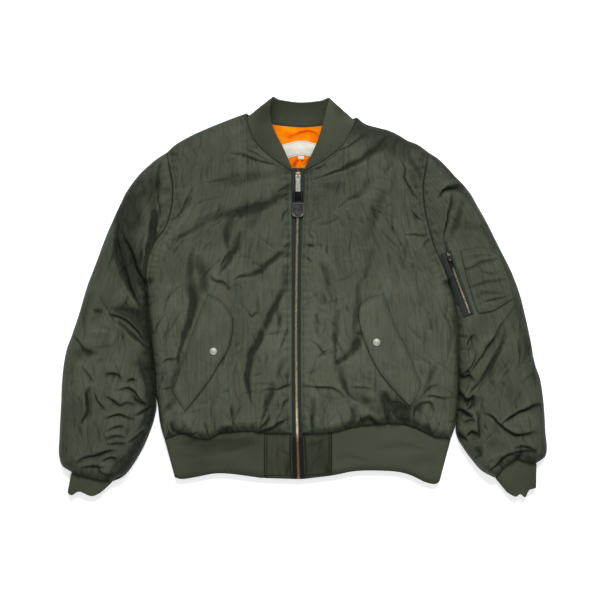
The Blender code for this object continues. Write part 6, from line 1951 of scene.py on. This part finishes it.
def make_zip_box():
    """The small retaining box at the foot of the zip, with its slot."""
    middle = (zip_x(ZIP_BOTTOM + 2.6), ZIP_BOTTOM + 2.6, zip_height(ZIP_BOTTOM) + 0.1)
    bm = block((7.0, 4.8, 3.2), middle, 0.5, 3)
    top = max((face for face in bm.faces if face.normal.z > 0.99), key=lambda face: face.calc_area())
    bmesh.ops.inset_individual(bm, faces=[top], thickness=0.9 * MM, depth=0)
    bmesh.ops.inset_individual(bm, faces=[top], thickness=0.3 * MM, depth=-0.5 * MM)
    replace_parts(shaded(add_object("retaining_box", bm, "brass"), 35), "zip_box")


def make_strap():
    """The leather strap of the main pull, sewn round its edge."""
    low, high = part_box("pull_strap")
    size, middle = (high - low) / MM, (high + low) / 2 / MM
    bm = block(size, middle, 0.8, 3)
    strap = shaded(add_object("strap_leather", bm, "leather", "main_pull"), 60)
    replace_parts(strap, "pull_strap")
    from_edge = 2.2
    corners = [
        (middle.x + a * (size.x / 2 - from_edge), middle.y + b * (size.y / 2 - from_edge), high.z / MM)
        for a, b in ((-1, 1), (-1, -1), (1, -1), (1, 1))
    ]
    frames = []
    for first, last in zip(corners, corners[1:]):
        path = np.linspace(first, last, 12)
        length = np.linalg.norm(path[-1] - path[0])
        frames += frames_along(path, np.arange(0.9, length, 2.3))
    stitches("stitches_strap", frames, 1.7, 0.33, "main_pull")


def make_grip():
    """The moulded grip of the main pull, with two rounded corners and a shallow oblong sunk in its face."""
    low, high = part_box("pull_grip")
    size, middle = (high - low) / MM, (high + low) / 2 / MM
    corner = size.x * 0.3
    outline = [(size.x / 2 - 1.5, size.y / 2)]
    for way, angles in ((1, np.linspace(0, math.pi / 2, 9)), (-1, np.linspace(math.pi / 2, 0, 9))):
        for angle in angles:
            x = size.x / 2 - corner + corner * math.cos(angle)
            outline.append((way * x, -size.y / 2 + corner - corner * math.sin(angle)))
    outline.append((1.5 - size.x / 2, size.y / 2))
    bm = bmesh.new()
    rim = [bm.verts.new(((middle.x + x) * MM, (middle.y + y) * MM, low.z)) for x, y in outline]
    face = bm.faces.new(rim)
    made = bmesh.ops.extrude_face_region(bm, geom=[face], use_keep_orig=True)
    lifted = [thing for thing in made["geom"] if isinstance(thing, bmesh.types.BMVert)]
    bmesh.ops.translate(bm, verts=lifted, vec=(0, 0, size.z * MM))
    bmesh.ops.recalc_face_normals(bm, faces=bm.faces[:])
    rims = [e for e in bm.edges if abs(e.verts[0].co.z - e.verts[1].co.z) < 1e-6]
    # painted highlight: the upper rim is marked, to be painted paler
    worn = bm.verts.layers.float.new("worn")
    bmesh.ops.bevel(bm, geom=rims, offset=1.1 * MM, segments=4, profile=0.5, affect="EDGES", material=-1)
    top = max((f for f in bm.faces if f.normal.z > 0.99), key=lambda f: f.calc_area())
    for thickness, depth in ((2.2, 0), (0.7, -0.8), (0.7, 0)):
        bmesh.ops.inset_individual(bm, faces=[top], thickness=thickness * MM, depth=depth * MM)
    for vert in bm.verts:
        vert[worn] = float(vert.co.z > high.z - 0.5 * MM)
    for face in bm.faces:
        if face.normal.z > 0.99 and face.calc_center_median().y < high.y and face.calc_area() > 2e-5:
            for vert in face.verts:
                vert[worn] = 0.0
    grip = shaded(add_object("grip_moulding", bm, "rubber", "main_pull"), 35)
    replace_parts(grip, "pull_grip")


# ---- The utility pocket on the left sleeve


def make_sleeve_pocket():
    """The pocket, the tape of its zip and the teeth on that."""
    trees = ground("shell_sleeve_left_top", "shell_front_left")
    grid = laid_grid(POCKET, ("inner", "outer"), 84, 130, 2.2)
    pocket = patch(
        "pocket_cloth", grid, trees, POCKET_LIFT, POCKET_THICKNESS, "nylon", SEEDS["pocket"], (2.0, 5.5), 1.3,
        folds=POCKET_FOLDS,
    )
    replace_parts(pocket, "sleeve_pocket")
    line = at_shares(smooth(SLEEVE_ZIP), spaced(134, 2.0))
    width = 2 * SLEEVE_TAPE_HALF + SLEEVE_TAPE_EXTRA
    across = SLEEVE_TAPE_HALF + width * (spaced(width, 1.2) - 1)
    grid = line[:, None] + across[None, :, None] * square_to(line)[:, None]
    tape = patch("sleeve_tape", grid, trees, POCKET_LIFT, SLEEVE_TAPE_THICKNESS, "tape")
    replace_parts(tape, "sleeve_zip_tape")
    fine = at_shares(line, np.linspace(0.02, 0.97, 60))
    height = height_on(ground("sleeve_tape"), fine) + 0.3 + SLEEVE_CHAIN_HEIGHT / 2
    path = np.column_stack([fine, height])[::-1]
    length = steps_of(path).sum()
    frames = frames_along(path, np.arange(0.5, length - 0.5, SMALL_TOOTH_PITCH / 2))
    teeth("sleeve_teeth", frames, (2.5, 0.62 * SMALL_TOOTH_PITCH, 1.9), "brass", "sleeve_zip_chain")


# ---- Sewing


def stitches(name, frames, length=STITCH_LENGTH, radius=STITCH_RADIUS, body="garment"):
    """A stitch lying at each frame."""
    bm = bmesh.new()
    size = Matrix.Diagonal((2 * radius * MM, length * MM, 1.4 * radius * MM, 1))
    shape = size @ Matrix.Rotation(math.pi / 2, 4, "X")
    for here in frames:
        bmesh.ops.create_uvsphere(bm, u_segments=6, v_segments=5, radius=0.5, matrix=here @ shape)
    return shaded(add_object(name, bm, "thread", body), 80)


def beside(line, distance, toward):
    """A line shifted sideways in the plane, to the side that the point called toward is on."""
    square = square_to(line)
    way = np.sign(((np.array(toward) - line) * square).sum(1).mean())
    return line + way * distance * square


def sew(name, rows, *on):
    """Rows of stitches on the pieces called on.

    Columns of rows: line, distance from it, a point on the side it is on, first and last share.
    """
    trees = ground(*on)
    frames = []
    for line, distance, toward, first, last in rows:
        path = beside(np.array(line, float), distance, toward)
        length = steps_of(path).sum() * (last - first)
        fine = at_shares(path, np.linspace(first, last, max(int(length / 2), 3)))
        path = np.column_stack([fine, height_on(trees, fine) + 0.12])
        frames += frames_along(path, np.arange(1.0, length - 1.0, STITCH_LENGTH + STITCH_GAP))
    stitches(name, frames)


def make_stitching():
    """Every row of stitches. Each front, flap, hem end, pocket, tape and label has its own object."""
    for side, lines in LINES.items():
        sign = -1 if side == "right" else 1
        middle = (sign * 140, 60)
        rows = [
            (lines["armhole"], 7.5, middle, 0.03, 0.98), (lines["neck"], 5.0, middle, 0.06, 0.97),
            (lines["hem"], 3.0, middle, 0.02, 0.98), (lines["hem"], 7.5, middle, 0.03, 0.97),
            (zip_edge(side), ZIP_ROW[side], middle, 0.01, 0.99),
        ]
        sew(f"stitches_front_{side}", rows, f"shell_front_{side}")
        flap = {name: smooth(line) for name, line in FLAPS[side].items()}
        centre = FLAP_SPINE[side][1]
        rows = [
            (flap["hinge"], 2.4, centre, 0.01, 0.99), (flap["free"], 5.0, centre, 0.04, 0.97),
            (flap["top"], 5.0, centre, 0.05, 0.95), (flap["foot"], 5.0, centre, 0.1, 0.9),
        ]
        sew(f"stitches_flap_{side}", rows, f"flap_{side}")
        top, foot, far, centre = HEM_AT_ZIP, -365, WOVEN_END[side], (sign * 38 - 6, -320)
        corners = [(far, top), (zip_x(top, side), top), (zip_x(foot, side), foot), (far, foot), (far, top)]
        rows = [(pair, 4.0, centre, 0.07, 0.93) for pair in zip(corners, corners[1:])]
        sew(f"stitches_hem_{side}", rows, f"hem_facing_{side}")
    pocket = {name: smooth(line) for name, line in POCKET.items()}
    centre = POCKET_SPINE[1]
    rows = [(pocket[name], 3.0, centre, 0.03, 0.97) for name in ("top", "foot", "outer", "inner")]
    flap_seam = [(326, 58), (356, 66), (386, 70)]
    rows += [(pocket["inner"], 6.5, centre, 0.05, 0.95), (flap_seam, 0.0, centre, 0.0, 1.0)]
    sew("stitches_pocket", rows, "pocket_cloth")
    line = smooth(SLEEVE_ZIP)
    rows = [(line, SLEEVE_TAPE_HALF - 1.6, toward, 0.02, 0.98) for toward in ((200, 0), (400, 60))]
    sew("stitches_tape", rows, "sleeve_tape")
    label = [smooth(LABEL[name]) for name in ("top", "foot")]
    sew("stitches_label", [(line, 2.2, (-4, 294), 0.03, 0.97) for line in label], "label_cloth")


# ---- Floor, lights and camera


FLOOR_GLOW = 0.45  # as a light table, so that it stays white beside the cloth
FLOOR_HALF, FLOOR_DROP = 4, 0.0004  # in metres


def make_stage():
    bm = bmesh.new()
    bmesh.ops.create_grid(bm, x_segments=1, y_segments=1, size=FLOOR_HALF)
    bmesh.ops.translate(bm, verts=bm.verts[:], vec=(0, 0, -FLOOR_DROP))
    mesh = bpy.data.meshes.new("floor")
    bm.to_mesh(mesh)
    bm.free()
    made, tree, shader = blank("pale_floor")
    fine = noise(tree, spots(tree, "object"), 3.0, 2.0)
    tone = tones(tree, fine, [(0.0, (0.93, 0.93, 0.93)), (1.0, (0.95, 0.95, 0.95))])
    set_shader(tree, shader, colour=tone, roughness=1.0, specular=0.0)
    shader.inputs["Emission Color"].default_value = (1, 1, 1, 1)
    shader.inputs["Emission Strength"].default_value = FLOOR_GLOW
    mesh.materials.append(made)
    floor = bpy.data.objects.new("floor", mesh)
    bpy.context.scene.collection.objects.link(floor)


def make_light(name, place, aim, size, power):
    data = bpy.data.lights.new(name, "AREA")
    data.shape, data.size, data.size_y, data.energy = "RECTANGLE", *size, power
    lamp = bpy.data.objects.new(name, data)
    lamp.location = place
    lamp.rotation_euler = (Vector(aim) - Vector(place)).to_track_quat("-Z", "Y").to_euler()
    bpy.context.scene.collection.objects.link(lamp)


def make_lights():
    """A low softbox beyond the neck brings out the folds, and a weak lamp fills their shadows."""
    make_light("softbox", (0.35, 3.5, 3.9), (0, 0, 0), (2.0, 1.2), 285)
    make_light("fill", (0.0, -0.9, 1.7), (0, -0.1, 0), (0.9, 0.5), 8)
    world = bpy.data.worlds.new("studio")
    world.use_nodes = True
    background = world.node_tree.nodes["Background"]
    background.inputs["Color"].default_value = (1, 1, 1, 1)
    background.inputs["Strength"].default_value = 0.24
    bpy.context.scene.world = world


# In metres: the camera's height, and how wide its view is at the level given last. SENSOR is in millimetres
CAMERA_HEIGHT, VIEW_WIDTH, VIEW_LEVEL, SENSOR = 3.0, 1.2, 0.012, 36


def make_camera():
    data = bpy.data.cameras.new("camera")
    data.sensor_width = SENSOR
    data.lens = SENSOR * (CAMERA_HEIGHT - VIEW_LEVEL) / VIEW_WIDTH
    camera = bpy.data.objects.new("camera", data)
    camera.location = (-0.006, -0.008, CAMERA_HEIGHT)
    bpy.context.scene.collection.objects.link(camera)
    bpy.context.scene.camera = camera
    bpy.context.scene.view_settings.view_transform = "Standard"


CAD_FINISHES = {
    "zip_slider": "brass", "zip_pull": "nickel",
    "sleeve_zip_slider": "tarnish", "sleeve_zip_pull": "tarnish",
}


def make_jacket():
    make_shell()
    for side in CURVES:
        make_cuff(side)
        make_flap(side)
        make_snap(side)
    make_hem()
    make_collar()
    make_neck()
    make_labels()
    make_zip()
    make_zip_box()
    make_strap()
    make_grip()
    make_sleeve_pocket()
    make_stitching()
    for name, finish_name in CAD_FINISHES.items():
        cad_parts[name].material_slots[0].material = material_of(finish_name)


make_jacket()
make_stage()
make_lights()
make_camera()
